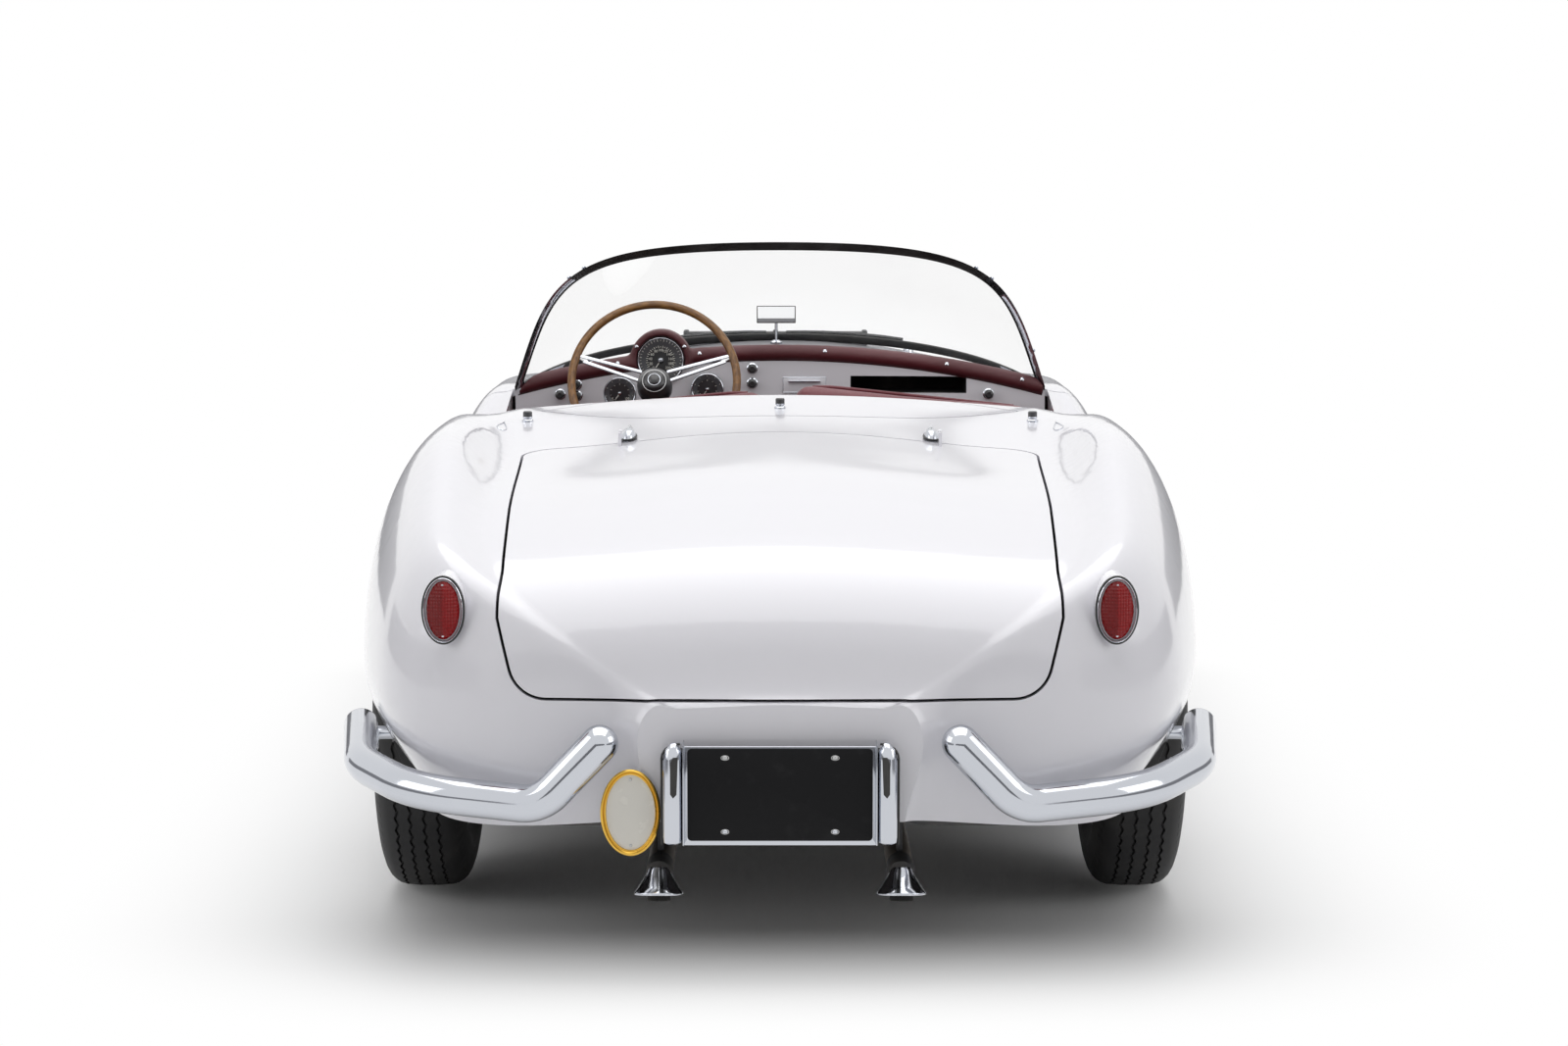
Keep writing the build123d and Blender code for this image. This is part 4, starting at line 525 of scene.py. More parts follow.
# Near-black: real soot on the exhaust tips, and painted shade inside the dash's glove slot.
SOOT_AND_SHADE = RawMetal("soot_and_slot_shade", "steel", (0.008, 0.007, 0.007, 1.0), 0.0, 0.85)
VENT_BLACK = RawMetal("vent_black", "under_paint", (0.012, 0.013, 0.014, 1.0), 0.0, 0.5)
DIAL_GREY = Enamel("dial_grey", "dial", (0.075, 0.078, 0.085, 1.0), 0.25)
MIRROR_GLASS = BrightMetal("mirror_glass", "glass", (0.93, 0.94, 0.95, 1.0), 0.01, 0.0)
LAMP_GLASS = FlutedGlass("headlamp_glass", "lamp_glass", (0.8, 0.84, 0.84, 1.0))
# Its centre is the middle of the car, so the lens's painted highlight makes the whole right
# indicator paler than the left one.
AMBER = MouldedLens("amber_lens", "lamp_glass", (0.6, 0.2, 0.02, 1.0))


# --- Shaping --------------------------------------------------------------------
class Axis(Enum):
    """The direction that a turned shape's own Z axis takes."""

    RIGHT = (1, 0, 0)
    LEFT = (-1, 0, 0)
    FORWARD = (0, 1, 0)
    REARWARD = (0, -1, 0)
    UP = (0, 0, 1)

    def frame(self, centre: Sequence[float]) -> Matrix:
        """The placement that puts a shape's origin at a centre, along this axis."""
        return aim(centre, self.value)


def aim(centre: Sequence[float], direction: Sequence[float]) -> Matrix:
    """Place a shape at a centre with its Z axis along a direction.

    Args:
        centre: Where its origin goes.
        direction: Where its Z axis points.

    Returns:
        The placement.
    """
    turn = Vector(direction).normalized().to_track_quat("Z", "Y")
    return Matrix.Translation(Vector(centre)) @ turn.to_matrix().to_4x4()


Rule = Callable[[Vector, Vector], int]
NODE_WELD = 0.00002
SHAPE_WELD = 0.00001
OVAL_FACETS = 72


def placed(name: str, data: bpy.types.ID) -> bpy.types.Object:
    """Put an object made of this data into the scene."""
    made = bpy.data.objects.new(name, data)
    bpy.context.scene.collection.objects.link(made)
    return made


def as_data(name: str, part: bmesh.types.BMesh) -> bpy.types.Mesh:
    """Turn a shape into mesh data, and free it."""
    data = bpy.data.meshes.new(name)
    part.to_mesh(data)
    part.free()
    return data


def box(low: Sequence[float], high: Sequence[float]) -> bmesh.types.BMesh:
    """A plain box between two corners."""
    part = bmesh.new()
    bmesh.ops.create_cube(part, size=1)
    bmesh.ops.scale(part, vec=[b - a for a, b in zip(low, high)], verts=part.verts)
    bmesh.ops.translate(part, vec=[(a + b) / 2 for a, b in zip(low, high)], verts=part.verts)
    return part


def soften(part: bmesh.types.BMesh, edge: float, segments: int) -> None:
    """Round every edge of a shape by a radius, unless it is 0."""
    if edge:
        bmesh.ops.bevel(
            part,
            geom=part.edges[:],
            offset=edge,
            offset_type="OFFSET",
            affect="EDGES",
            segments=segments,
            profile=0.5,
            material=-1,
            clamp_overlap=True,
        )


def bridge(part: bmesh.types.BMesh, rings: Sequence[list[bmesh.types.BMVert]]) -> None:
    """Join each ring of corners to the next with faces."""
    for pair in zip(rings, rings[1:]):
        found = (e for ring in pair for v in ring for e in v.link_edges if e.other_vert(v) in ring)
        bmesh.ops.bridge_loops(part, edges=list(dict.fromkeys(found)))


class Form:
    """A mesh in the making, put together from shapes and dressed as one piece."""

    def __init__(self, *finishes: Finish) -> None:
        """Start an empty form whose faces name these finishes by index."""
        self.mesh = bmesh.new()
        self.finishes = finishes

    def take(self, part: bmesh.types.BMesh, place: Matrix, finish: int = 0) -> Form:
        """Add a shape and free it.

        Args:
            part: The shape.
            place: Where it goes.
            finish: Which finish its faces take.

        Returns:
            This form.
        """
        part.transform(place)
        for face in part.faces:
            face.material_index = finish
        bmesh.ops.recalc_face_normals(part, faces=part.faces)
        return self.join(part)

    def join(self, part: bmesh.types.BMesh) -> Form:
        """Add a shape as it stands, and free it."""
        data = as_data("shape", part)
        self.mesh.from_mesh(data)
        bpy.data.meshes.remove(data)
        return self

    def node(self, name: str, rule: Rule | None = None) -> Form:
        """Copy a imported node's solid, welded.

        Args:
            name: The node.
            rule: Gives a face's finish from its centre and normal.

        Returns:
            This form.
        """
        part = bmesh.new()
        part.from_mesh(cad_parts[name].data)
        bmesh.ops.remove_doubles(part, verts=part.verts, dist=NODE_WELD)
        bmesh.ops.dissolve_degenerate(part, edges=part.edges, dist=NODE_WELD)
        for face in part.faces:
            face.material_index = rule(face.calc_center_median(), face.normal) if rule else 0
        return self.join(part)

    def lathe(
        self,
        profile: Sequence[Pair],
        place: Matrix,
        finish: int = 0,
        steps: int = 48,
        squash: Pair = (1, 1),
    ) -> Form:
        """Spin a (radius, height) line about its Z axis.

        Args:
            profile: The line, from one end to the other.
            place: Where the turned shape goes.
            finish: Which finish it takes.
            steps: Facets round the axis.
            squash: Scale across X and Y, for an oval.

        Returns:
            This form.
        """
        part = bmesh.new()
        row = [part.verts.new((radius, 0, height)) for radius, height in profile]
        line = [part.edges.new(pair) for pair in zip(row, row[1:])]
        bmesh.ops.spin(
            part,
            geom=row + line,
            axis=(0, 0, 1),
            cent=(0, 0, 0),
            angle=math.tau,
            steps=steps,
            use_merge=True,
        )
        bmesh.ops.remove_doubles(part, verts=part.verts, dist=SHAPE_WELD)
        bmesh.ops.scale(part, vec=(*squash, 1), verts=part.verts)
        return self.take(part, place, finish)

    def tube(
        self,
        path: Sequence[Sequence[float]],
        radius: float | Sequence[float],
        finish: int = 0,
        sides: int = 16,
        closed: bool = False,
    ) -> Form:
        """Bridge rings along a path.

        Args:
            path: The centre line.
            radius: One radius, or one for each point.
            finish: Which finish it takes.
            sides: Facets round the tube.
            closed: Whether the last ring joins the first.

        Returns:
            This form.
        """
        points = [Vector(point) for point in path]
        radii = [radius] * len(points) if isinstance(radius, (int, float)) else radius
        part = bmesh.new()
        rings = []
        last = None
        for index, point in enumerate(points):
            inside = closed or index + 1 < len(points)
            ahead = points[(index + 1) % len(points)] if inside else point
            behind = points[index - 1] if closed or index else point
            way = (ahead - behind).normalized()
            if last is None:
                turn = way.to_track_quat("Z", "Y")
            else:
                turn = last[0].rotation_difference(way) @ last[1]
            last = (way, turn)
            place = Matrix.Translation(point) @ turn.to_matrix().to_4x4()
            ends = not closed and index in (0, len(points) - 1)
            ring = bmesh.ops.create_circle(
                part,
                cap_ends=ends,
                segments=sides,
                radius=radii[index],
                matrix=place,
            )["verts"]
            rings.append(ring)
        bridge(part, rings + rings[:1] if closed else rings)
        return self.take(part, Matrix.Identity(4), finish)

    def block(
        self,
        low: Sequence[float],
        high: Sequence[float],
        finish: int = 0,
        edge: float = 0.001,
        place: Matrix | None = None,
        segments: int = 3,
    ) -> Form:
        """A box between two corners with rounded edges.

        Args:
            low: The lowest corner.
            high: The highest corner.
            finish: Which finish it takes.
            edge: The rounding of its edges.
            place: Moves the finished box.
            segments: Facets across a rounding.

        Returns:
            This form.
        """
        part = box(low, high)
        soften(part, edge, segments)
        return self.take(part, place or Matrix.Identity(4), finish)

    def oval(
        self,
        profile: Sequence[Pair],
        half: Pair,
        place: Matrix,
        finish: int = 0,
        closed: bool = False,
    ) -> Form:
        """Bridge oval rings that keep an even distance from the outer oval.

        Args:
            profile: The (inset, height) of each ring, from the outside in.
            half: The outer oval's half width and half height.
            place: Where it goes.
            finish: Which finish it takes.
            closed: Whether the innermost ring is filled.

        Returns:
            This form.
        """
        part = bmesh.new()
        rings = []
        for index, (inset, height) in enumerate(profile):
            size = Matrix.Diagonal((half[0] - inset, half[1] - inset, 1, 1))
            rings.append(
                bmesh.ops.create_circle(
                    part,
                    cap_ends=closed and index == len(profile) - 1,
                    segments=OVAL_FACETS,
                    radius=1,
                    matrix=Matrix.Translation((0, 0, height)) @ size,
                )["verts"]
            )
        bridge(part, rings)
        return self.take(part, place, finish)

    def plate(
        self,
        outline: Sequence[Pair],
        depth: float,
        place: Matrix,
        finish: int = 0,
        edge: float = 0.0006,
    ) -> Form:
        """A flat outline given a thickness along its Z axis.

        Args:
            outline: Its corners in X and Y.
            depth: Its thickness, up from its own plane.
            place: Where it goes.
            finish: Which finish it takes.
            edge: The rounding of its edges.

        Returns:
            This form.
        """
        part = bmesh.new()
        face = part.faces.new([part.verts.new((x, y, 0)) for x, y in outline])
        grown = bmesh.ops.extrude_face_region(part, geom=[face])["geom"]
        top = [item for item in grown if isinstance(item, bmesh.types.BMVert)]
        bmesh.ops.translate(part, vec=(0, 0, depth), verts=top)
        soften(part, edge, 2)
        return self.take(part, place, finish)

    def numeral(self, text: str, size: float, place: Matrix, finish: int = 0) -> Form:
        """A dial's figures, flat and centred.

        Args:
            text: The figures.
            size: Their height in metres, about.
            place: Where they go.
            finish: Which finish they take.

        Returns:
            This form.
        """
        curve = bpy.data.curves.new("figures", "FONT")
        curve.body = text
        curve.size = size
        curve.resolution_u = 3
        curve.align_x = "CENTER"
        curve.align_y = "CENTER"
        curve.extrude = 0.0002
        holder = bpy.data.objects.new("figures", curve)
        data = bpy.data.meshes.new_from_object(holder)
        part = bmesh.new()
        part.from_mesh(data)
        bmesh.ops.remove_doubles(part, verts=part.verts, dist=SHAPE_WELD)
        bpy.data.objects.remove(holder)
        bpy.data.curves.remove(curve)
        bpy.data.meshes.remove(data)
        return self.take(part, place, finish)

    def mound(self, rings: Sequence[Sequence[Vector]], finish: int = 0) -> Form:
        """Bridge closed outlines, one inside the next, and fill the last.

        Args:
            rings: The outlines, from the outermost.
            finish: Which finish it takes.

        Returns:
            This form.
        """
        part = bmesh.new()
        loops = []
        for points in rings:
            verts = [part.verts.new(point) for point in points]
            loops.append([part.edges.new(pair) for pair in zip(verts, verts[1:] + verts[:1])])
        for first, second in zip(loops, loops[1:]):
            bmesh.ops.bridge_loops(part, edges=first + second)
        bmesh.ops.contextual_create(part, geom=loops[-1])
        return self.take(part, Matrix.Identity(4), finish)

    def done(
        self,
        name: str,
        body: str,
        replaces: Sequence[str] = (),
        crease: float = 32.0,
    ) -> bpy.types.Object:
        """Turn the form into a piece that rides on a body.

        Args:
            name: The piece's name.
            body: The body that carries it.
            replaces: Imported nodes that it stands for.
            crease: Edges sharper than this many degrees stay sharp.

        Returns:
            The piece.
        """
        for face in self.mesh.faces:
            face.smooth = True
        for edge in self.mesh.edges:
            if len(edge.link_faces) == 2:
                edge.smooth = edge.calc_face_angle() < math.radians(crease)
        data = as_data(name, self.mesh)
        for finish in self.finishes:
            data.materials.append(finish.material())
        piece = placed(name, data)
        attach(piece, body)
        if replaces:
            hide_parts(*replaces)
        log.info("%s on %s: %d faces", name, body, len(data.polygons))
        return piece


def arc(
    radius: float, start: float, end: float, steps: int, centre: Pair = (0, 0)
) -> list[Pair]:
    """Points on an arc.

    Args:
        radius: Its radius.
        start: First angle in degrees.
        end: Last angle in degrees.
        steps: Spans between the points.
        centre: Its centre.

    Returns:
        The points as pairs.
    """
    turns = [math.radians(start + (end - start) * step / steps) for step in range(steps + 1)]
    return [
        (centre[0] + radius * math.cos(turn), centre[1] + radius * math.sin(turn)) for turn in turns
    ]


class Rest:
    """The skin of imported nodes, for fittings that stand on it."""

    def __init__(self, *names: str) -> None:
        """Gather the nodes into one search tree."""
        part = bmesh.new()
        for name in names:
            part.from_mesh(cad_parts[name].data)
        self.tree = BVHTree.FromBMesh(part)
        part.free()

    def under(self, x: float, y: float) -> tuple[Vector, Vector]:
        """The first point below the sky at an X and Y, and its normal."""
        spot, normal, _, _ = self.tree.ray_cast(Vector((x, y, 2.0)), Vector((0, 0, -1)))
        return spot, normal

    def nearest(self, point: Sequence[float]) -> tuple[Vector, Vector]:
        """The nearest point of the skin to a point, and its normal."""
        spot, normal, _, _ = self.tree.find_nearest(Vector(point))
        return spot, normal

    def astride(
        self, outline: Sequence[Pair], reach: float, rise: float
    ) -> list[Vector]:
        """Points of an outline, level with the skin on either side of each.

        Args:
            outline: The points in X and Y.
            reach: How far to either side the skin is felt.
            rise: How proud of it the points stand.

        Returns:
            The points.
        """
        laid: list[Vector] = []
        for x, y in outline:
            sides = [(x - reach, y), (x + reach, y)]
            sides += [(x - reach, y + 0.006), (x + reach, y + 0.006)]
            spots = [self.under(*side)[0] for side in sides]
            level = max(spot.z for spot in spots if spot)
            laid.append(Vector((x, y, level + rise)))
        return laid

    def draped(self, outline: Sequence[Pair], rise: float) -> list[Vector]:
        """Points of an outline laid on the skin from above, a little proud of it."""
        laid: list[Vector] = []
        level = max(spot.z for spot, _ in (self.under(x, y) for x, y in outline) if spot)
        for x, y in outline:
            spot, normal = self.under(x, y)
            if spot is None or spot.z < level - 0.03:
                spot, normal = self.nearest((x, y, level))
                spot = Vector((x, y, spot.z))
            laid.append(spot + normal * rise)
        return laid


# --- Body -----------------------------------------------------------------------
@dataclass
class Bodywork:
    """The painted panels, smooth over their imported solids."""

    skins: dict[str, str] = field(
        default_factory=lambda: {
            "front_body": "chassis",
            "rear_body": "chassis",
            "sills": "chassis",
            "hood_cover": "chassis",
            "bonnet": "bonnet",
            "boot_lid": "boot_lid",
            "door_left": "door_left",
            "door_right": "door_right",
        }
    )
    crease: float = 28.0

    def dress(self) -> None:
        """Copy each panel, painted outside and dark where nothing is polished."""
        for node, body in self.skins.items():
            rule = self.door_rule if node.startswith("door") else self.panel_rule
            Form(BODY_WHITE, PANEL_BACK, MAROON).node(node, rule).done(
                f"{node}_skin", body, [node], self.crease
            )

    def panel_rule(self, centre: Vector, normal: Vector) -> int:
        """Underseal on downward faces low on the car, paint elsewhere."""
        return 1 if normal.z < -0.6 and centre.z < 0.3 else 0

    def door_rule(self, centre: Vector, normal: Vector) -> int:
        """Hide on the door's inner side below its rolled top."""
        inward = normal.x * centre.x < 0 and abs(normal.x) > 0.5
        return 2 if inward and centre.z < 0.8 else 0


@dataclass
class Underbody:
    """Floor, frame, axles and the other plain metal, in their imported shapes."""

    plain: dict[str, tuple[Finish, str]] = field(
        default_factory=lambda: {
            "wheelhouses": (PANEL_BACK, "chassis"),
            "boot_floor": (CARPET, "chassis"),
            "front_rails": (FRAME_BLACK, "chassis"),
            "engine": (ALLOY, "chassis"),
            "transaxle": (ALLOY, "chassis"),
            "front_axle": (FRAME_BLACK, "chassis"),
            "knuckle_left": (IRON, "knuckle_left"),
            "knuckle_right": (IRON, "knuckle_right"),
            "rear_axle": (FRAME_BLACK, "chassis"),
            "rear_springs": (FRAME_BLACK, "chassis"),
            "plate_bracket": (SATIN, "chassis"),
            "steering_column": (FRAME_BLACK, "chassis"),
            "pedals": (SATIN, "chassis"),
        }
    )
    tip_start: Point = (0.2, -1.976, 0.1985)
    tip_drop: float = 80.0
    cut_y: float = -1.925
    tip_mark: int = 9

    def dress(self) -> None:
        """Give every plain node its finish, with carpet inside the cabin."""
        for node, (finish, body) in self.plain.items():
            Form(finish).node(node).done(f"{node}_metal", body, [node], 35)
        for node in ("floor_pan", "bulkheads"):
            Form(CARPET, PANEL_BACK).node(node, self.cabin_rule).done(
                f"{node}_trim", "chassis", [node], 35
            )
        self.dress_exhaust()

    def cabin_rule(self, centre: Vector, normal: Vector) -> int:
        """Carpet on faces that look into the cabin."""
        up = normal.z > 0.3 or abs(normal.x) > 0.5
        walls = (normal.y > 0.5 and centre.y < 0) or (normal.y < -0.5 and centre.y > 0)
        return 0 if up or walls else 1

    def pipe_rule(self, centre: Vector, normal: Vector) -> int:
        """Bare pipe ahead, black on the hangers and the tail, the tips apart."""
        if centre.y < self.cut_y:
            return self.tip_mark
        return 1 if centre.z > 0.237 or centre.y < -1.88 else 0

    def dress_exhaust(self) -> None:
        """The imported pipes, with bright flared trims that point down at their ends."""
        form = Form(PIPE, FRAME_BLACK, CHROME, SOOT_AND_SHADE).node("exhaust", self.pipe_rule)
        tips = [face for face in form.mesh.faces if face.material_index == self.tip_mark]
        bmesh.ops.delete(form.mesh, geom=tips, context="FACES")
        drop = math.radians(self.tip_drop)
        way = Vector((0, -math.cos(drop), -math.sin(drop)))
        trim = [(0.0165, -0.004), (0.0185, 0.0), (0.0205, 0.006), (0.0265, 0.017), (0.034, 0.029)]
        trim += [(0.0405, 0.0372), (0.0414, 0.0396), (0.041, 0.0414), (0.0392, 0.0418)]
        trim += [(0.0375, 0.0392), (0.0315, 0.029), (0.0235, 0.016), (0.0165, -0.004)]
        pipe = [(0.0, 0.0), (0.0192, 0.002), (0.0192, 0.0505), (0.0182, 0.0512), (0.0172, 0.0505)]
        pipe += [(0.0172, 0.02), (0.0, 0.018)]
        for side in (-1, 1):
            x = side * self.tip_start[0]
            start = Vector((x, *self.tip_start[1:]))
            seat = aim(start, way)
            bend = [Vector((x, self.cut_y + 0.02, 0.192)), Vector((x, self.cut_y - 0.012, 0.1925))]
            bend += [Vector((x, -1.951, 0.1945)), start + way * 0.004, start + way * 0.014]
            form.tube(bend, [0.0222, 0.0222, 0.022, 0.0208, 0.0195], 1, 28)
            form.lathe(trim, seat, 2, 56)
            lip = [(0.0128, 0.0095), (0.0165, 0.0105), (0.0195, 0.013), (0.0195, 0.0155)]
            form.lathe(lip, seat, 2, 40)
            form.lathe(pipe, seat, 3, 40)
        form.done("exhaust_pipes", "chassis", ["exhaust"], 35)


# --- Wheels ---------------------------------------------------------------------
@dataclass
class RoadWheel:
    """A slotted steel wheel, its cap and its ribbed tyre."""

    ending: str
    x: float
    y: float
    z: float = 0.325
    tread_radius: float = 0.325
    steps: int = 144
    zigzag: float = 0.0022
    groove: float = 0.0065
    groove_places: tuple[float, ...] = (0.013, 0.038)
    groove_half: float = 0.0024
    tread_edge: float = 0.314
    tread_half: float = 0.047
    cap_face: float = 0.0705
    cap_radius: float = 0.0975
    cap_foot: float = 0.0335
    valve: Point = (0.0, -0.182, 0.035)

    @property
    def axis(self) -> Axis:
        """Outward along the axle."""
        return Axis.RIGHT if self.x > 0 else Axis.LEFT

    @property
    def centre(self) -> Vector:
        """The hub's middle."""
        return Vector((self.x, self.y, self.z))

    def section(self) -> list[Pair]:
        """The tyre's (radius, across) line from bead to bead."""
        half = [(self.tread_radius - 0.0004, 0.0)]
        for place in self.groove_places:
            top = self.tread_radius - 0.012 * (place / 0.05) ** 2 * 0.3
            inner, outer = place - self.groove_half, place + self.groove_half
            half += [(top, inner), (top - self.groove, inner + 0.0006)]
            half += [(top - self.groove, outer - 0.0006), (top, outer)]
        half += [(0.3195, 0.0535), (0.3150, 0.0605), (0.3085, 0.0675), (0.2985, 0.0735)]
        half += [(0.2850, 0.0782), (0.2700, 0.0812), (0.2560, 0.0822), (0.2430, 0.0805)]
        half += [(0.2300, 0.0745), (0.2180, 0.0665), (0.2125, 0.0660), (0.2100, 0.0610)]
        half += [(0.2006, 0.0530)]
        other = [(radius, -across) for radius, across in reversed(half[1:])]
        return other + half

    def dress_tyre(self) -> None:
        """Spin the section, then shift the tread's ribs from side to side."""
        finish = TyreRubber(f"tyre_rubber_{self.ending}", "tyre", hub=tuple(self.centre))
        form = Form(finish).lathe(self.section(), Matrix.Identity(4), 0, self.steps)
        for vert in form.mesh.verts:
            reach = math.hypot(vert.co.x, vert.co.y)
            if reach > self.tread_edge and abs(vert.co.z) < self.tread_half:
                turn = round(math.atan2(vert.co.y, vert.co.x) / math.tau * self.steps)
                vert.co.z += self.zigzag * (1 if turn % 2 else -1)
        form.mesh.transform(self.axis.frame(self.centre))
        form.done(f"tyre_tread_{self.ending}", f"wheel_{self.ending}", [f"tyre_{self.ending}"], 38)

    def wheel_rule(self, centre: Vector, normal: Vector) -> int:
        """Chrome on the domed cap, silver on the pressed disc and rim."""
        reach = math.hypot(centre.y - self.y, centre.z - self.z)
        outward = abs(centre.x) - abs(self.x)
        return 1 if outward > self.cap_foot and reach < self.cap_radius else 0

    def dress_disc(self) -> None:
        """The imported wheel, with a ringed boss on its cap and a valve."""
        form = Form(WHEEL_SILVER, CHROME, SEAL)
        form.node(f"wheel_{self.ending}", self.wheel_rule)
        face = self.cap_face
        ring = arc(0.0016, 180, 0, 6)
        lip = [(0.060 + u, face + v - 0.0022) for u, v in ring]
        boss = [(0.026 + u, face + v + 0.0001) for u, v in ring]
        place = self.axis.frame(self.centre)
        form.lathe(lip, place, 1, 64)
        form.lathe(boss, place, 1, 48)
        form.lathe([(0.0, face + 0.0022), (0.016, face + 0.0015), (0.0235, face)], place, 1, 40)
        valve = place @ Matrix.Translation(self.valve)
        form.lathe([(0.0, 0.022), (0.003, 0.022), (0.0034, 0.012), (0.0045, 0.0)], valve, 2, 12)
        form.done(f"wheel_disc_{self.ending}", f"wheel_{self.ending}", [f"wheel_{self.ending}"], 35)

    def dress(self) -> None:
        """Make the tyre and the disc."""
        self.dress_tyre()
        self.dress_disc()


# --- Cabin ----------------------------------------------------------------------
COVER_STRETCH = 25
COVER_BEND = 3
COVER_FRAMES = 20


def swell(piece: bpy.types.Object, voxel: float, pressure: float, cap: float) -> None:
    """Blow a closed soft form up like a stuffed cover, within a cap.

    Args:
        piece: The form.
        voxel: Size of its remeshed faces.
        pressure: How hard it is stuffed.
        cap: The furthest that a point may move.
    """
    scene = bpy.context.scene
    even(piece, voxel)
    bake(piece)
    start = [vert.co.copy() for vert in piece.data.vertices]
    cloth = piece.modifiers.new("stuffing", "CLOTH")
    cloth.settings.use_pressure = True
    cloth.settings.uniform_pressure_force = pressure
    cloth.settings.tension_stiffness = COVER_STRETCH
    cloth.settings.compression_stiffness = COVER_STRETCH
    cloth.settings.bending_stiffness = COVER_BEND
    cloth.settings.effector_weights.gravity = 0
    cloth.point_cache.frame_start = 1
    cloth.point_cache.frame_end = COVER_FRAMES
    for step in range(1, COVER_FRAMES + 1):
        scene.frame_set(step)
    bake(piece)
    scene.frame_set(1)
    for vert, old in zip(piece.data.vertices, start):
        move = vert.co - old
        if move.length > cap:
            vert.co = old + move * (cap / move.length)


def even(piece: bpy.types.Object, voxel: float) -> None:
    """Ask for faces of one size, by a remesh."""
    remesh = piece.modifiers.new("even", "REMESH")
    remesh.mode = "VOXEL"
    remesh.voxel_size = voxel


def bake(piece: bpy.types.Object) -> None:
    """Turn a piece's modifiers into its mesh, smooth-shaded."""
    graph = bpy.context.evaluated_depsgraph_get()
    data = bpy.data.meshes.new_from_object(piece.evaluated_get(graph))
    old = piece.data
    piece.modifiers.clear()
    piece.data = data
    bpy.data.meshes.remove(old)
    for polygon in data.polygons:
        polygon.use_smooth = True


@dataclass
class BucketSeat:
    """A maroon seat: a pleated cushion and a leaning, pleated back."""

    side: str
    sign: int
    x0: float = 0.024
    x1: float = 0.541
    top: float = 0.907
    fall: float = 0.046
    crest: float = 0.11
    foot: float = 0.37
    front: float = -0.213
    thick: float = 0.092
    lean: float = 0.187
    lower: float = 0.0
    pleats: int = 9
    pleat_depth: float = 0.006
    border: float = 0.085
    pleat_foot: float = 0.045
    pleat_head: float = 0.075
    pleat_fade: Pair = (0.012, 0.02)
    pressure: float = 3.0
    cap: float = 0.010
    rounding: float = 0.034
    cushion_y: Pair = (-0.255, 0.112)
    cushion_thick: float = 0.092
    cushion_z: float = 0.328
    cushion_tilt: float = 4.0
    base_y: Pair = (-0.3, 0.096)
    base_z: Pair = (0.2524, 0.34)
    piping: float = 0.0042
    voxel: float = 0.008

    @property
    def span(self) -> Pair:
        """The seat's two sides, low to high."""
        ends = (self.sign * self.x0, self.sign * self.x1)
        return min(ends), max(ends)

    def stuffed(self, form: Form, name: str) -> bpy.types.Object:
        """Stuff a form and sew its pleats.

        Args:
            form: The form, in its place.
            name: The piece's name without its side.

        Returns:
            The piece.
        """
        piece = form.done(f"{name}_{self.side}", "chassis", (), 180)
        swell(piece, self.voxel, self.pressure, self.cap)
        low, high = self.span
        middle, across = (low + high) / 2, (high - low) / 2 - self.border
        upright = name == "seat_back"
        run = [vert.co.z if upright else vert.co.y for vert in piece.data.vertices]
        first, last = min(run) + self.pleat_foot, max(run) - self.pleat_head
        side_fade, end_fade = self.pleat_fade
        normals = [vert.normal.copy() for vert in piece.data.vertices]
        for vert, normal, place in zip(piece.data.vertices, normals, run):
            facing = normal.y if upright else normal.z
            reach = abs(vert.co.x - middle)
            inside = min(1.0, max(0.0, (across - reach) / side_fade))
            above, below = (last - place) / end_fade, (place - first) / end_fade
            ends = min(1.0, max(0.0, above), max(0.0, below))
            turn = (vert.co.x - middle) / (2 * across) * self.pleats * math.pi
            sink = self.pleat_depth * (1 - abs(math.cos(turn)) ** 0.6)
            vert.co -= normal * sink * inside * ends * min(1.0, max(0.0, facing * 2 - 0.6))
        smooth = piece.modifiers.new("round", "SUBSURF")
        smooth.levels = smooth.render_levels = 1
        return piece

    def dress(self) -> None:
        """Back, cushion and the hide-covered base under them."""
        low, high = self.span
        rear, top = self.front - self.thick, self.top - self.lower
        form, edge = Form(MAROON), self.rounding
        form.block((low, rear, self.foot), (high, self.front, top), 0, edge, None, 6)
        for vert in form.mesh.verts:
            share = (vert.co.z - self.foot) / (top - self.foot)
            slope = max(0.0, abs(vert.co.x) - self.crest) / (self.x1 - self.crest)
            vert.co.z -= self.fall * slope * share
            vert.co.y -= (vert.co.z - self.foot) * self.lean
        back = self.stuffed(form, "seat_back")
        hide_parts(f"seat_{self.side}")
        lean = Matrix.Rotation(math.radians(self.cushion_tilt), 4, "X")
        tilt = Matrix.Translation((0, 0, self.cushion_z - self.lower)) @ lean
        (near, far), thick = self.cushion_y, self.cushion_thick
        form = Form(MAROON).block((low, near, 0.0), (high, far, thick), 0, edge, tilt, 6)
        self.stuffed(form, "seat_cushion")
        self.dress_base(top)

    def dress_base(self, top: float) -> None:
        """The base under the cushion, and the piping along the back's top.

        Args:
            top: The height of the back's top.
        """
        low, high = self.span
        base = Form(MAROON, CHROME)
        (near, far), (under, over) = self.base_y, self.base_z
        base.block((low + 0.02, near, under), (high - 0.02, far, over - self.lower), 0, 0.012)
        base.done(f"seat_base_{self.side}", "chassis")
        edge = Form(MAROON)
        points = []
        for index in range(13):
            x = low + 0.045 + (high - low - 0.09) * index / 12
            slope = max(0.0, abs(x) - self.crest) / (self.x1 - self.crest)
            z = top - self.fall * slope - 0.012
            points.append((x, self.front - (z - self.foot) * self.lean - 0.008, z))
        edge.tube(points, self.piping, 0, 10)
        edge.done(f"seat_piping_{self.side}", "chassis")


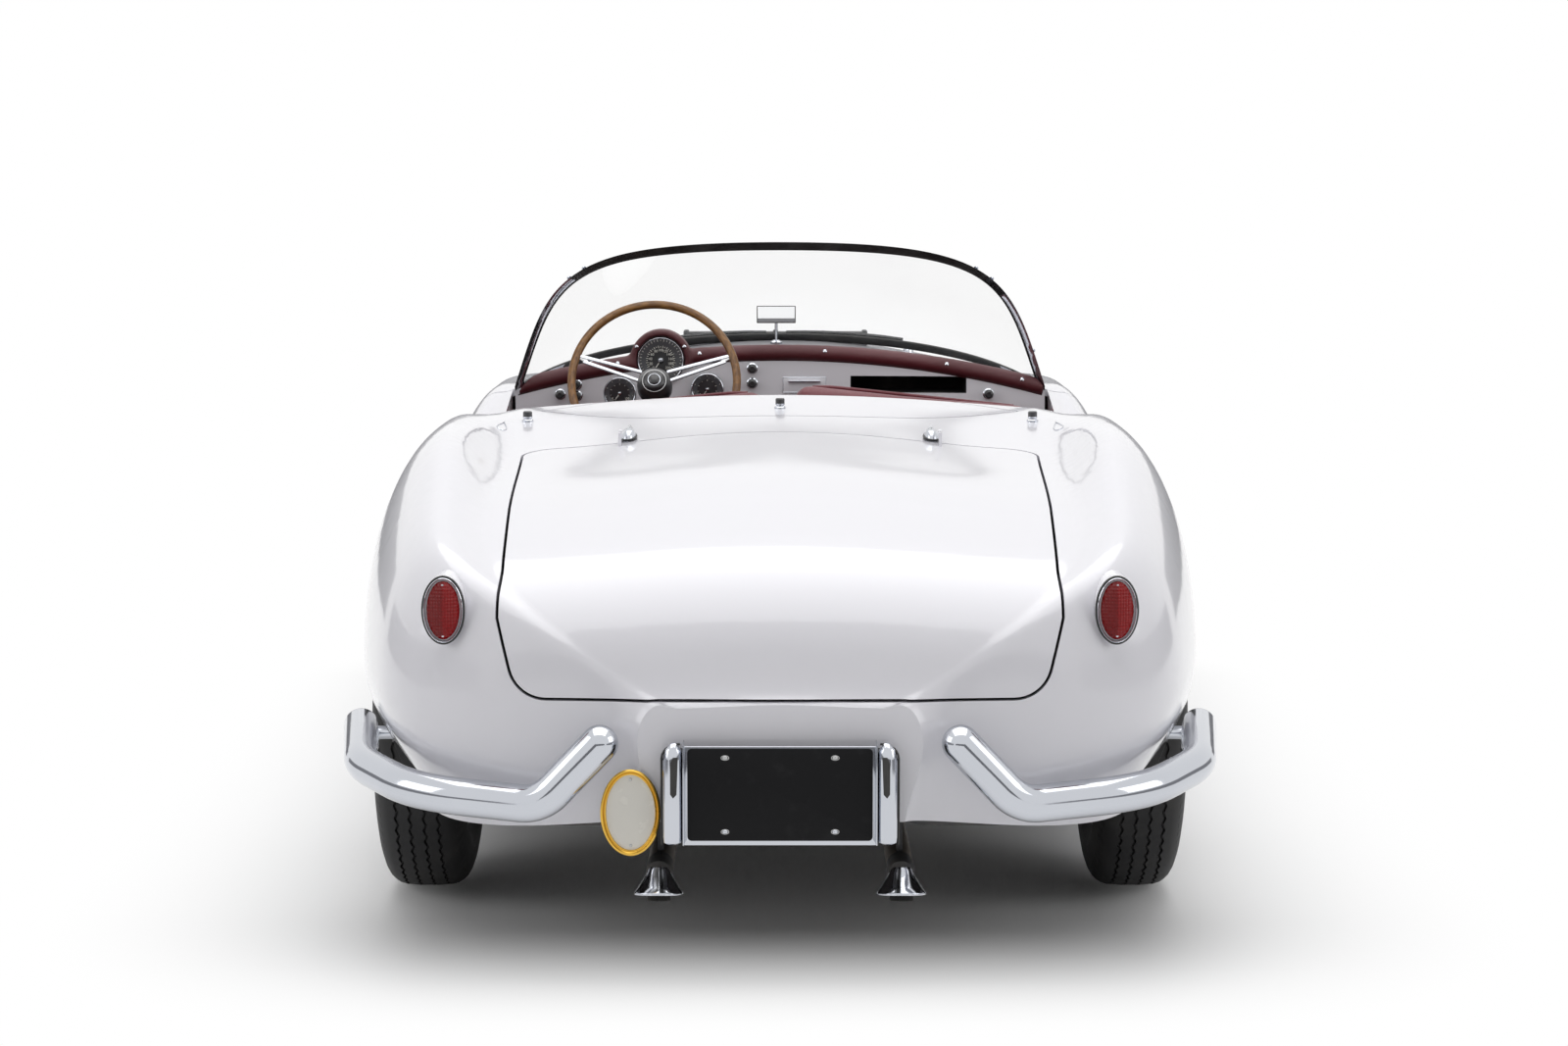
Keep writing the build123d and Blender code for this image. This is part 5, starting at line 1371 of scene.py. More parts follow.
@dataclass
class Dash:
    """The padded roll, the panel and everything set in it."""

    roll_z: float = 0.938
    roll_end: Point = (0.604, 0.214, 0.862)
    roll_radius: float = 0.020
    panel_y: float = 0.271
    speedo: Pair = (-0.274, 0.922)
    speedo_radius: float = 0.055
    cowl_radius: float = 0.071
    small_dials: tuple[Pair, ...] = ((-0.368, 0.847), (-0.167, 0.856))
    small_radius: float = 0.037
    roll_screws: tuple[float, ...] = (-0.372, -0.185, 0.103, 0.382, 0.553)
    cowl_screws: tuple[float, ...] = (150.0, 30.0)
    slot: tuple[Pair, Pair] = ((0.15, 0.44), (0.835, 0.9))
    cowl_face: float = 0.2452
    speedo_face: float = 0.2525
    small_face: float = 0.2465
    scale_start: float = 225.0
    scale_sweep: float = 270.0
    needle_turn: float = 235.0
    mark_rows: tuple[tuple[float, ...], ...] = (
        (0.57, 0.0008, 0.011, 0.0005),
        (0.84, 0.0019, 0.008, 0.0007),
    )
    knobs: tuple[Pair, ...] = (
        (-0.503, 0.846),
        (-0.466, 0.868),
        (-0.465, 0.842),
        (-0.064, 0.903),
        (-0.064, 0.869),
        (0.477, 0.847),
    )

    def depth(self, x: float) -> float:
        """The panel's Y at an X, on the same arc as the solid's."""
        rise = self.panel_y - (self.roll_end[1] - 0.01)
        radius = (self.roll_end[0] ** 2 + rise**2) / (2 * rise)
        return self.panel_y - radius + math.sqrt(radius**2 - x**2)

    def dress_roll(self) -> None:
        """The padded roll, smoothed, with its row of screws."""
        piece = Form(ROLL_HIDE).node("dash_pad").done("dash_roll", "chassis", ["dash_pad"], 180)
        even(piece, 0.005)
        smooth = piece.modifiers.new("soften", "SMOOTH")
        smooth.iterations = 6
        bake(piece)
        form = Form(CHROME)
        head = [(0.0, 0.0026), (0.0026, 0.0021), (0.0044, 0.0008), (0.0048, -0.001)]
        for x in self.roll_screws:
            rise = self.roll_z - (self.roll_z - self.roll_end[2]) * (x / self.roll_end[0]) ** 2
            way = Vector((0, -0.93, 0.37)).normalized()
            spot = Vector((x, self.depth(x) + 0.01, rise)) + way * (self.roll_radius - 0.0012)
            form.lathe(head, aim(spot, way), 0, 20)
        mid = (self.speedo_radius + self.cowl_radius) / 2
        for turn in self.cowl_screws:
            side, up = math.cos(math.radians(turn)), math.sin(math.radians(turn))
            spot = (self.speedo[0] + side * mid, self.cowl_face, self.speedo[1] + up * mid)
            form.lathe(head, Axis.REARWARD.frame(spot), 0, 20)
        form.done("dash_screws", "chassis")

    def knob(self, form: Form, x: float, z: float) -> None:
        """One black knob on its bright collar."""
        seat = Axis.REARWARD.frame((x, self.depth(x), z))
        form.lathe([(0.0125, 0.0), (0.0125, 0.0016), (0.0095, 0.0034), (0.004, 0.004)], seat, 0, 32)
        grip = [(0.003, 0.0), (0.003, 0.011), (0.008, 0.0118), (0.0105, 0.0145)]
        grip += [(0.0108, 0.019), (0.0092, 0.0225), (0.0055, 0.024), (0.005, 0.0228), (0.0, 0.0226)]
        form.lathe(grip, seat, 1, 32)

    def slot_rule(self, centre: Vector, normal: Vector) -> int:
        """Painted shade: near-black inside the glove slot's recess, paint elsewhere."""
        (left, right), (low, high) = self.slot
        within = left < centre.x < right and low < centre.z < high
        return 1 if within and centre.y > self.depth(centre.x) + 0.004 else 0

    def dress_panel(self) -> None:
        """The painted panel, its ashtray and knobs."""
        # Faces inside the glove slot take the near-black finish as painted shade.
        form = Form(BODY_WHITE, SOOT_AND_SHADE).node("dashboard", self.slot_rule)
        form.done("dash_panel", "chassis", ["dashboard"], 30)
        form = Form(CHROME, HUB_BLACK, BODY_WHITE)
        for x, z in self.knobs:
            self.knob(form, x, z)
        low, high = Vector((0.007, 0, 0.848)), Vector((0.105, 0, 0.882))
        front = self.depth(0.06) - 0.0022
        form.block((low.x, front, low.z), (high.x, front + 0.004, high.z), 2, 0.0014)
        corners = [(low.x, low.z), (high.x, low.z), (high.x, high.z), (low.x, high.z)]
        form.tube([Vector((x, front, z)) for x, z in corners], 0.0009, 0, 8, closed=True)
        lip_low = (low.x + 0.012, front - 0.007, high.z - 0.01)
        lip_high = (high.x - 0.012, front, high.z - 0.0065)
        form.block(lip_low, lip_high, 0, 0.001)
        form.done("dash_fittings", "chassis")

    def dial(
        self, form: Form, x: float, z: float, radius: float, marks: int, face_y: float
    ) -> Matrix:
        """One dial: bezel, grey ring, black face, marks, needle and boss.

        Args:
            form: The form that takes it, with dial finishes by index.
            x: Its centre.
            z: Its height.
            radius: Outside of its bezel.
            marks: How many marks go round the scale.
            face_y: Where the bezel's front is.

        Returns:
            The dial's own frame.
        """
        seat = Axis.REARWARD.frame((x, face_y, z))
        bezel = [(radius * 0.9 + 0.0022 + u, v * 1.3) for u, v in arc(0.0024, 200, -20, 8)]
        form.lathe(bezel, seat, 0, 64)
        form.lathe([(0.0, 0.0008), (radius * 0.62, 0.0008)], seat, 1, 48)
        ring = [(radius * 0.62, 0.0009), (radius * 0.66, 0.0014), (radius * 0.92, 0.0022)]
        form.lathe(ring, seat, 3, 64)
        for index in range(marks):
            turn = math.radians(self.scale_start - self.scale_sweep * index / (marks - 1))
            size = radius * (0.06 if index % 2 else 0.1)
            for reach, height, wide, thick in self.mark_rows:
                spot = seat @ Matrix.Rotation(turn, 4, "Z")
                spot = spot @ Matrix.Translation((radius * reach, 0, height))
                side = radius * wide
                form.block((-size / 2, -side, 0), (size / 2, side, thick), 2, 0, spot)
        needle = seat @ Matrix.Rotation(math.radians(self.needle_turn), 4, "Z")
        form.block((-0.12 * radius, -0.0009, 0.0032), (0.5 * radius, 0.0009, 0.004), 2, 0, needle)
        form.lathe([(0.0, 0.0062), (radius * 0.1, 0.0052), (radius * 0.13, 0.001)], seat, 0, 28)
        return seat

    def dress_dials(self) -> None:
        """The big speedometer under the arch and the two small dials."""
        form = Form(CHROME, DIAL_BLACK, DIAL_MARK, DIAL_GREY, FRAME_BLACK)
        seat = self.dial(form, *self.speedo, self.speedo_radius, 31, self.speedo_face)
        for index in range(11):
            turn = math.radians(self.scale_start - self.scale_sweep / 10 * index)
            reach = self.speedo_radius * 0.43
            spot = Matrix.Translation((math.cos(turn) * reach, math.sin(turn) * reach, 0.001))
            form.numeral(str(20 * index), 0.0085, seat @ spot, 2)
        for x, z in self.small_dials:
            self.dial(form, x, z, self.small_radius, 9, self.small_face)
            for side in (-1, 1):
                spot = Axis.REARWARD.frame((x + side * 0.0165, self.cowl_face, z - 0.012))
                form.numeral("0" if side < 0 else "100", 0.007, spot, 2)
        form.node("instruments", lambda centre, normal: 4)
        form.done("dials", "chassis", ["instruments"], 35)

    def dress(self) -> None:
        """Make the roll, the panel and the dials."""
        self.dress_roll()
        self.dress_panel()
        self.dress_dials()


@dataclass
class SteeringWheel:
    """A wood rim on twin straight bars each side, with a black cone hub."""

    centre: Point = (-0.283, 0.095, 0.884)
    rake: float = 25.0
    radius: float = 0.186
    grip: float = 0.0093
    upper: tuple[float, ...] = (0.028, 0.021, 0.172, 0.0615)
    lower: tuple[float, ...] = (0.036, 0.001, 0.161, 0.0475)
    bar_half: float = 0.0042

    @property
    def place(self) -> Matrix:
        """The wheel's frame: Z toward the driver, X to the right."""
        turn = Matrix.Rotation(math.radians(90 - self.rake), 4, "X")
        return Matrix.Translation(Vector(self.centre)) @ turn

    def bar(self, form: Form, ends: Sequence[float], side: int) -> None:
        """One polished bar between two points of the wheel's own plane.

        Args:
            form: The form that takes it.
            ends: X and Y of its inner end, then of its outer end.
            side: 1 on the right, -1 on the left.
        """
        start = Vector((ends[0] * side, ends[1], 0))
        end = Vector((ends[2] * side, ends[3], 0))
        run = end - start
        turn = Matrix.Rotation(math.atan2(run.y, run.x), 4, "Z")
        middle = Matrix.Translation((start + end) / 2)
        half = run.length / 2
        form.block(
            (-half, -self.bar_half, -0.0024),
            (half, self.bar_half, 0.0024),
            0,
            0.0019,
            self.place @ middle @ turn,
        )

    def dress(self) -> None:
        """Rim, spokes and hub."""
        wood = Wood("rim_wood", "wood", hub=self.centre)
        form = Form(wood)
        turns = [math.tau * index / 96 for index in range(96)]
        ring = [
            self.place @ Vector((self.radius * math.cos(turn), self.radius * math.sin(turn), 0))
            for turn in turns
        ]
        form.tube(ring, self.grip, 0, 18, closed=True)
        form.done("steering_rim", "steering", ["steering_wheel"], 60)
        form = Form(CHROME, HUB_BLACK, SATIN)
        for side in (-1, 1):
            self.bar(form, self.upper, side)
            self.bar(form, self.lower, side)
            web = [(0.148, 0.041), (0.161, 0.0475), (0.176, 0.0575), (0.171, 0.062), (0.152, 0.056)]
            outline = [(side * x, y) for x, y in web]
            form.plate(outline, 0.003, self.place @ Matrix.Translation((0, 0, -0.0022)), 2)
        cone = [(0.0, 0.0105), (0.0165, 0.0095), (0.0225, 0.0065), (0.0262, 0.0015)]
        cone += [(0.0335, -0.0065), (0.0385, -0.0145), (0.0395, -0.024), (0.0395, -0.044)]
        cone += [(0.0, -0.044)]
        form.lathe(cone, self.place, 1, 64)
        form.lathe([(0.0, 0.0138), (0.0085, 0.0132), (0.0125, 0.0102)], self.place, 1, 48)
        form.lathe([(0.0137 + u, 0.0094 + v) for u, v in arc(0.0012, 180, 0, 6)], self.place, 0, 48)
        form.lathe([(0.0262 + u, 0.0012 + v) for u, v in arc(0.0011, 180, 0, 6)], self.place, 2, 56)
        shaft = [(0.0, -0.03), (0.008, -0.04), (0.008, -0.105), (0.0, -0.105)]
        form.lathe(shaft, self.place, 2, 24)
        form.done("steering_hub", "steering", (), 35)


@dataclass
class CabinSmalls:
    """Lever, mirror and door furniture."""

    knob_z: float = 0.60
    boot_z: float = 0.463
    mirror: Point = (-0.009, 0.33, 1.024)
    mirror_tilt: float = -7.0
    stem_y: float = 0.333
    foot_z: float = 0.9575
    card_x: Pair = (0.6045, 0.6115)
    pull_x: float = 0.592
    winder: Point = (0.605, 0.06, 0.66)

    def lever_rule(self, centre: Vector, normal: Vector) -> int:
        """Black on the knob and on the boot at the lever's foot."""
        return 1 if centre.z > self.knob_z else (2 if centre.z < self.boot_z else 0)

    def dress_mirror(self) -> None:
        """The tilted mirror in its black rim, on a thin stem with a turned foot."""
        form = Form(CHROME, SEAL, MIRROR_GLASS)
        x, y, _ = self.mirror
        turn = Matrix.Rotation(math.radians(self.mirror_tilt), 4, "X")
        tilt = Matrix.Translation(Vector(self.mirror)) @ turn
        form.block((-0.044, -0.0045, -0.019), (0.044, 0.006, 0.019), 0, 0.0045, tilt)
        form.block((-0.045, -0.0075, -0.02), (0.045, -0.0025, 0.02), 1, 0.0016, tilt)
        form.block((-0.0428, -0.008, -0.0178), (0.0428, -0.0062, 0.0178), 2, 0.0004, tilt)
        stem = [(x, self.stem_y, 0.955), (x, self.stem_y, 0.985), (x, y + 0.001, 1.012)]
        form.tube(stem, 0.0036, 0, 14)
        base = [(0.014, -0.001), (0.014, 0.003), (0.0115, 0.005), (0.0055, 0.0085), (0, 0.0085)]
        form.lathe(base, Axis.UP.frame((x, self.stem_y, self.foot_z)), 0, 32)
        form.done("mirror_head", "chassis", ["mirror"], 35)

    def dress_card(self, side: str, sign: int) -> None:
        """A door's covered board with its pull and winder.

        Args:
            side: The door's side, as in its body's name.
            sign: 1 on the right, -1 on the left.
        """
        form = Form(MAROON, CHROME)
        inner = self.card_x[0]
        low, high = sorted((sign * inner, sign * self.card_x[1]))
        form.block((low, -0.335, 0.37), (high, 0.21, 0.765), 0, 0.003)
        line = [(inner, -0.2, 0.71), (self.pull_x, -0.19, 0.708)]
        line += [(self.pull_x, -0.11, 0.708), (inner, -0.1, 0.71)]
        form.tube([(sign * x, y, z) for x, y, z in line], 0.005, 1, 12)
        seat = aim((sign * self.winder[0], *self.winder[1:]), (-sign, 0, 0))
        form.lathe([(0.018, 0.0), (0.016, 0.006), (0.006, 0.01), (0.0, 0.011)], seat, 1, 28)
        form.done(f"door_card_{side}", f"door_{side}")

    def dress(self) -> None:
        """Make each small fitting of the cabin."""
        form = Form(CHROME, HUB_BLACK, SEAL).node("gear_lever", self.lever_rule)
        form.done("gear_stick", "chassis", ["gear_lever"], 35)
        self.dress_mirror()
        self.dress_card("left", -1)
        self.dress_card("right", 1)


# --- Windscreen -----------------------------------------------------------------
@dataclass
class Windscreen:
    """The wrapped screen: bright frame, black seal, glass, studs, vent and wipers."""

    half: float = 0.635
    depth: float = 0.44
    slopes: Pair = (0.28, 0.96)
    bead: float = 0.0036
    bead_step: float = 0.012
    rubber_z: float = 1.11
    rubber_y: float = 0.3
    studs: tuple[Point, ...] = ((0.437, 0.16, 1.128), (0.476, 0.16, 1.108), (0.57, 0.185, 0.94))
    wipers: tuple[tuple[float, ...], ...] = (
        (1, 0.302, 0.106, 0.991),
        (-1, 0.33, 0.126, 0.995),
    )
    vent: Pair = (-0.222, 0.2)
    vent_y: Pair = (0.472, 0.535)
    vent_top: float = 0.981

    def outward(self, spot: Vector) -> Vector:
        """The way out of the wrapped screen at a point of it."""
        across, ahead = spot.x / self.half, spot.y / self.depth
        rise = across**2 * self.slopes[0] / self.half + ahead**2 * self.slopes[1] / self.depth
        return Vector((across / self.half, ahead / self.depth, rise)).normalized()

    def frame_rule(self, centre: Vector, normal: Vector) -> int:
        """Black rubber on the cabin side of the frame's top, plating elsewhere."""
        inner = normal.dot(self.outward(centre)) < -0.5
        return 1 if inner and (centre.z > self.rubber_z or centre.y > self.rubber_y) else 0

    def rim(self, sign: int) -> list[Vector]:
        """The edge of one face of the glass, in order.

        Args:
            sign: 1 for the outer face, -1 for the one toward the cabin.

        Returns:
            The edge's points.
        """
        part = bmesh.new()
        part.from_mesh(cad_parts["windscreen_glass"].data)
        bmesh.ops.remove_doubles(part, verts=part.verts, dist=0.00005)
        chosen: dict[bmesh.types.BMEdge, bool] = {}
        for edge in part.edges:
            if len(edge.link_faces) != 2:
                continue
            sides = [
                face.normal.dot(self.outward(face.calc_center_median())) * sign > 0.7
                for face in edge.link_faces
            ]
            if sides[0] != sides[1]:
                chosen[edge] = True
        loops = []
        while chosen:
            edge = next(iter(chosen))
            del chosen[edge]
            line = [edge.verts[0], edge.verts[1]]
            while True:
                ahead = [other for other in line[-1].link_edges if other in chosen]
                if not ahead:
                    break
                del chosen[ahead[0]]
                line.append(ahead[0].other_vert(line[-1]))
            loops.append([vert.co.copy() for vert in line])
        part.free()
        longest = max(loops, key=len)
        return longest[:-1] if (longest[0] - longest[-1]).length < 0.0001 else longest

    def dress(self) -> None:
        """Make the frame, its seal, the glass and what is fixed near them."""
        Form(CHROME, SEAL).node("windscreen_frame", self.frame_rule).done(
            "screen_frame", "chassis", ["windscreen_frame"], 40
        )
        Form(GLASS).node("windscreen_glass").done(
            "screen_pane", "chassis", ["windscreen_glass"], 40
        )
        self.dress_seal()
        self.dress_studs()
        self.dress_vent()
        self.dress_wipers()

    def dress_seal(self) -> None:
        """A black bead along both edges of the glass."""
        form = Form(SEAL)
        for sign in (-1, 1):
            edge = self.rim(sign)
            thinned = [edge[0]]
            for point in edge:
                if (point - thinned[-1]).length > self.bead_step:
                    thinned.append(point)
            form.tube(thinned, self.bead, 0, 10, closed=True)
        form.done("screen_seal", "chassis", (), 60)

    def dress_studs(self) -> None:
        """Bright buttons up the frame's outside."""
        rest = Rest("windscreen_frame")
        form = Form(CHROME)
        button = [(0.0, 0.0055), (0.0035, 0.005), (0.0045, 0.003)]
        button += [(0.0035, 0.0015), (0.005, -0.0006)]
        for x, y, z in self.studs:
            for side in (-1, 1):
                spot, _ = rest.nearest((side * x * 1.02, y + 0.02, z + 0.01))
                form.lathe(button, aim(spot, self.outward(spot)), 0, 20)
        form.done("screen_studs", "chassis")

    def dress_vent(self) -> None:
        """The low black air intake on the cowl, with its slats."""
        rest = Rest("front_body")
        form = Form(VENT_BLACK, SEAL)
        low, high = self.vent
        rear, front = self.vent_y
        edge = rest.under(low, rear)[0].z
        body_high = (high, front - 0.004, self.vent_top - 0.006)
        form.block((low, rear + 0.004, edge - 0.004), body_high, 0, 0.006)
        for index in range(5):
            z = edge + 0.004 + index * (self.vent_top - edge - 0.01) / 4.2
            form.block((low + 0.004, rear, z), (high - 0.004, front, z + 0.0035), 1, 0.0012)
        for x in (low, (low + high) / 2, high):
            post_low = (x - 0.006, rear - 0.001, edge - 0.004)
            form.block(post_low, (x + 0.006, front, self.vent_top), 0, 0.003)
        form.done("cowl_vent", "chassis")

    def dress_wipers(self) -> None:
        """Two thin arms with blades, parked against the glass."""
        rest = Rest("front_body")
        glass = Rest("windscreen_glass")
        form = Form(CHROME, SEAL)
        boss = [(0.0135, -0.003), (0.012, 0.006), (0.0085, 0.012), (0.006, 0.02), (0.0, 0.021)]
        for side, start, end, height in self.wipers:
            foot, normal = rest.under(side * start, 0.472)
            form.lathe(boss, aim(foot, normal), 0, 28)
            tip, _ = glass.nearest((side * end, 0.5, height))
            tip = tip + Vector((0, 0.009, 0.009))
            head = foot + Vector((0, 0, 0.017))
            bend = head.lerp(tip, 0.25) + Vector((0, 0.004, 0.006))
            form.tube([head, bend, tip], [0.0042, 0.0034, 0.0022], 0, 10)
            near, _ = glass.nearest((side * (start + 0.02), 0.5, 0.965))
            far, _ = glass.nearest((side * (end - 0.09), 0.5, height + 0.004))
            blade = [near.lerp(far, step / 6) for step in range(7)]
            blade = [glass.nearest(point + Vector((0, 0.02, 0.02)))[0] for point in blade]
            form.tube([point + Vector((0, 0.0045, 0.0045)) for point in blade], 0.0042, 1, 8)
        form.done("wiper_arms", "chassis")


# --- Outside fittings -----------------------------------------------------------
@dataclass
class Brightwork:
    """Bumpers, grille, hinges, pegs and hood eyes."""

    pegs: tuple[Pair, ...] = ((-0.513, -0.632), (0.0, -0.64), (0.513, -0.632))
    eyes: tuple[Pair, ...] = ((-0.558, -0.705), (0.558, -0.705))
    hinge_x: float = 0.297
    hinge_dome: tuple[Pair, ...] = (
        (0.0, 0.0),
        (0.0009, 0.0055),
        (0.0028, 0.0105),
        (0.0058, 0.0142),
        (0.0095, 0.016),
    )
    hinge_y: Pair = (-0.9, -0.786)
    fullness: float = 1.35

    def drop_outline(self, x: float, rear: float, front: float, half: float) -> list[Pair]:
        """A teardrop from above: round at the rear, pointed at the front."""
        points = []
        for index in range(28):
            turn = math.tau * index / 28
            y = (rear + front) / 2 - (front - rear) / 2 * math.cos(turn)
            wide = half * math.sin(turn) * math.cos(turn / 2) ** 2
            points.append((x + self.fullness * wide, y))
        return points

    def dress(self) -> None:
        """Plate each bright node, and finish the pegs and teardrops."""
        for node in ("rear_bumpers", "front_bumpers", "grille"):
            Form(CHROME).node(node).done(f"{node}_bright", "chassis", [node], 40)
        self.dress_hinges()
        self.dress_eyes()
        self.dress_pegs()

    def dress_hinges(self) -> None:
        """Domed teardrops on the boot's hinges, each in its gasket."""
        form = Form(CHROME, SEAL)
        rest = Rest("rear_body", "boot_lid")
        rear, front = self.hinge_y
        for side in (-1, 1):
            x = side * self.hinge_x
            gasket = self.drop_outline(x, rear - 0.004, front + 0.004, 0.0175)
            form.tube(rest.astride(gasket, 0.03, 0.0008), 0.0018, 1, 8, closed=True)
            rings = []
            for inset, rise in self.hinge_dome:
                start, end = rear + inset * 1.2, front - inset * 4
                outline = self.drop_outline(x, start, end, 0.0165 - inset)
                rings.append(rest.astride(outline, 0.03, rise))
            form.mound(rings, 0)
        form.done("boot_hinge_pads", "chassis", ["boot_hinges"], 60)

    def dress_eyes(self) -> None:
        """Thin bright teardrop outlines on the rear deck."""
        rest = Rest("rear_body", "boot_lid")
        form = Form(CHROME)
        for x, y in self.eyes:
            outline = self.drop_outline(x, y - 0.045, y + 0.045, 0.0105)
            form.tube(rest.draped(outline, 0.0006), 0.0013, 0, 8, closed=True)
        form.done("hood_eyes", "chassis")

    def dress_pegs(self) -> None:
        """The hood's pegs: a turned stem and collar under a black cap."""
        rest = Rest("rear_body", "hood_cover")
        form = Form(CHROME, HUB_BLACK)
        stem = [(0.0118, -0.003), (0.0118, 0.0022), (0.0102, 0.0042), (0.0078, 0.005)]
        stem += [(0.0078, 0.0062), (0.0, 0.0062)]
        collar = [(0.0075, 0.006), (0.0098, 0.007), (0.0098, 0.0096), (0.0, 0.0096)]
        cap = [(0.0082, 0.0092), (0.0094, 0.0104), (0.0094, 0.0186), (0.0076, 0.0204)]
        cap += [(0, 0.0204)]
        for x, y in self.pegs:
            seat = Axis.UP.frame(rest.under(x, y)[0])
            for profile, finish in ((stem, 0), (collar, 0), (cap, 1)):
                form.lathe(profile, seat, finish, 32)
        form.done("hood_peg_set", "chassis", ["hood_pegs"], 35)


@dataclass
class RearLamps:
    """Oval tail lamps: gasket, thin bright ring and ridged red lens."""

    x: float = 0.553
    y: float = -1.962
    z: float = 0.628
    half: Pair = (0.036, 0.057)
    screw_inset: float = 0.0155
    screw_rise: float = 0.0086

    def dress(self) -> None:
        """Both lamps as one piece on the body."""
        # Each lens is painted paler on its side at higher X, as a painted highlight.
        right = MouldedLens("red_lens_right", "red_lens", centre=(self.x, self.y, self.z))
        left = MouldedLens("red_lens_left", "red_lens", centre=(-self.x, self.y, self.z))
        form = Form(SEAL, CHROME, right, left, BODY_WHITE)
        form.node("tail_lamps", lambda centre, normal: 4)
        gasket = [(0.0, -0.002), (0.0, 0.0012), (0.0011, 0.0024), (0.0032, 0.0028), (0.004, 0.0)]
        ring = [(0.0032, 0.001), (0.0034, 0.0044), (0.0044, 0.0056), (0.0057, 0.0046)]
        ring += [(0.0062, 0.0)]
        dome = [(0.0088, -0.001), (0.009, 0.0034), (0.0105, 0.0062), (0.0145, 0.0092)]
        dome += [(0.021, 0.0125), (0.0285, 0.0152), (0.0353, 0.0172)]
        for sign, lens in ((1, 2), (-1, 3)):
            seat = Axis.REARWARD.frame((sign * self.x, self.y, self.z))
            form.oval(gasket, self.half, seat, 0)
            form.oval(ring, self.half, seat, 1)
            form.oval(dome, self.half, seat, lens, closed=True)
            for end in (-1, 1):
                inset = end * (self.half[1] - self.screw_inset)
                screw = seat @ Matrix.Translation((0, inset, self.screw_rise))
                form.lathe([(0.0, 0.0014), (0.0022, 0.0009), (0.0026, -0.001)], screw, 1, 16)
        form.done("tail_lamp_set", "chassis", ["tail_lamps"], 26)


@dataclass
class FrontLamps:
    """Round headlamps with fluted glass, and small indicators."""

    x: float = 0.566
    y: float = 1.925
    z: float = 0.640
    radius: float = 0.092
    lens: float = 0.082

    def dome_rule(self, centre: Vector, normal: Vector) -> int:
        """Glass over the dome, satin behind and round it."""
        off = math.hypot(abs(centre.x) - self.x, centre.z - self.z)
        return 2 if off < self.lens and centre.y > self.y + 0.003 else 0

    def dress(self) -> None:
        """Both headlamps and both indicators."""
        form = Form(SATIN, CHROME, LAMP_GLASS, SATIN)
        form.node("headlamps", self.dome_rule)
        for sign in (-1, 1):
            seat = Axis.FORWARD.frame((sign * self.x, self.y, self.z))
            rim = [(0.0915, -0.005), (0.0918, 0.002), (0.0895, 0.009), (0.085, 0.012)]
            rim += [(0.081, 0.0105)]
            form.lathe(rim, seat, 1, 72)
            bowl = [(0.079, 0.006), (0.066, -0.004), (0.044, -0.013), (0.02, -0.018), (0.0, -0.019)]
            form.lathe(bowl, seat, 3, 56)
            form.lathe([(0.0, 0.012), (0.009, 0.006), (0.011, -0.019)], seat, 2, 28)
        form.done("headlamp_set", "chassis", ["headlamps"], 35)
        Form(AMBER).node("indicators").done("indicator_set", "chassis", ["indicators"], 35)


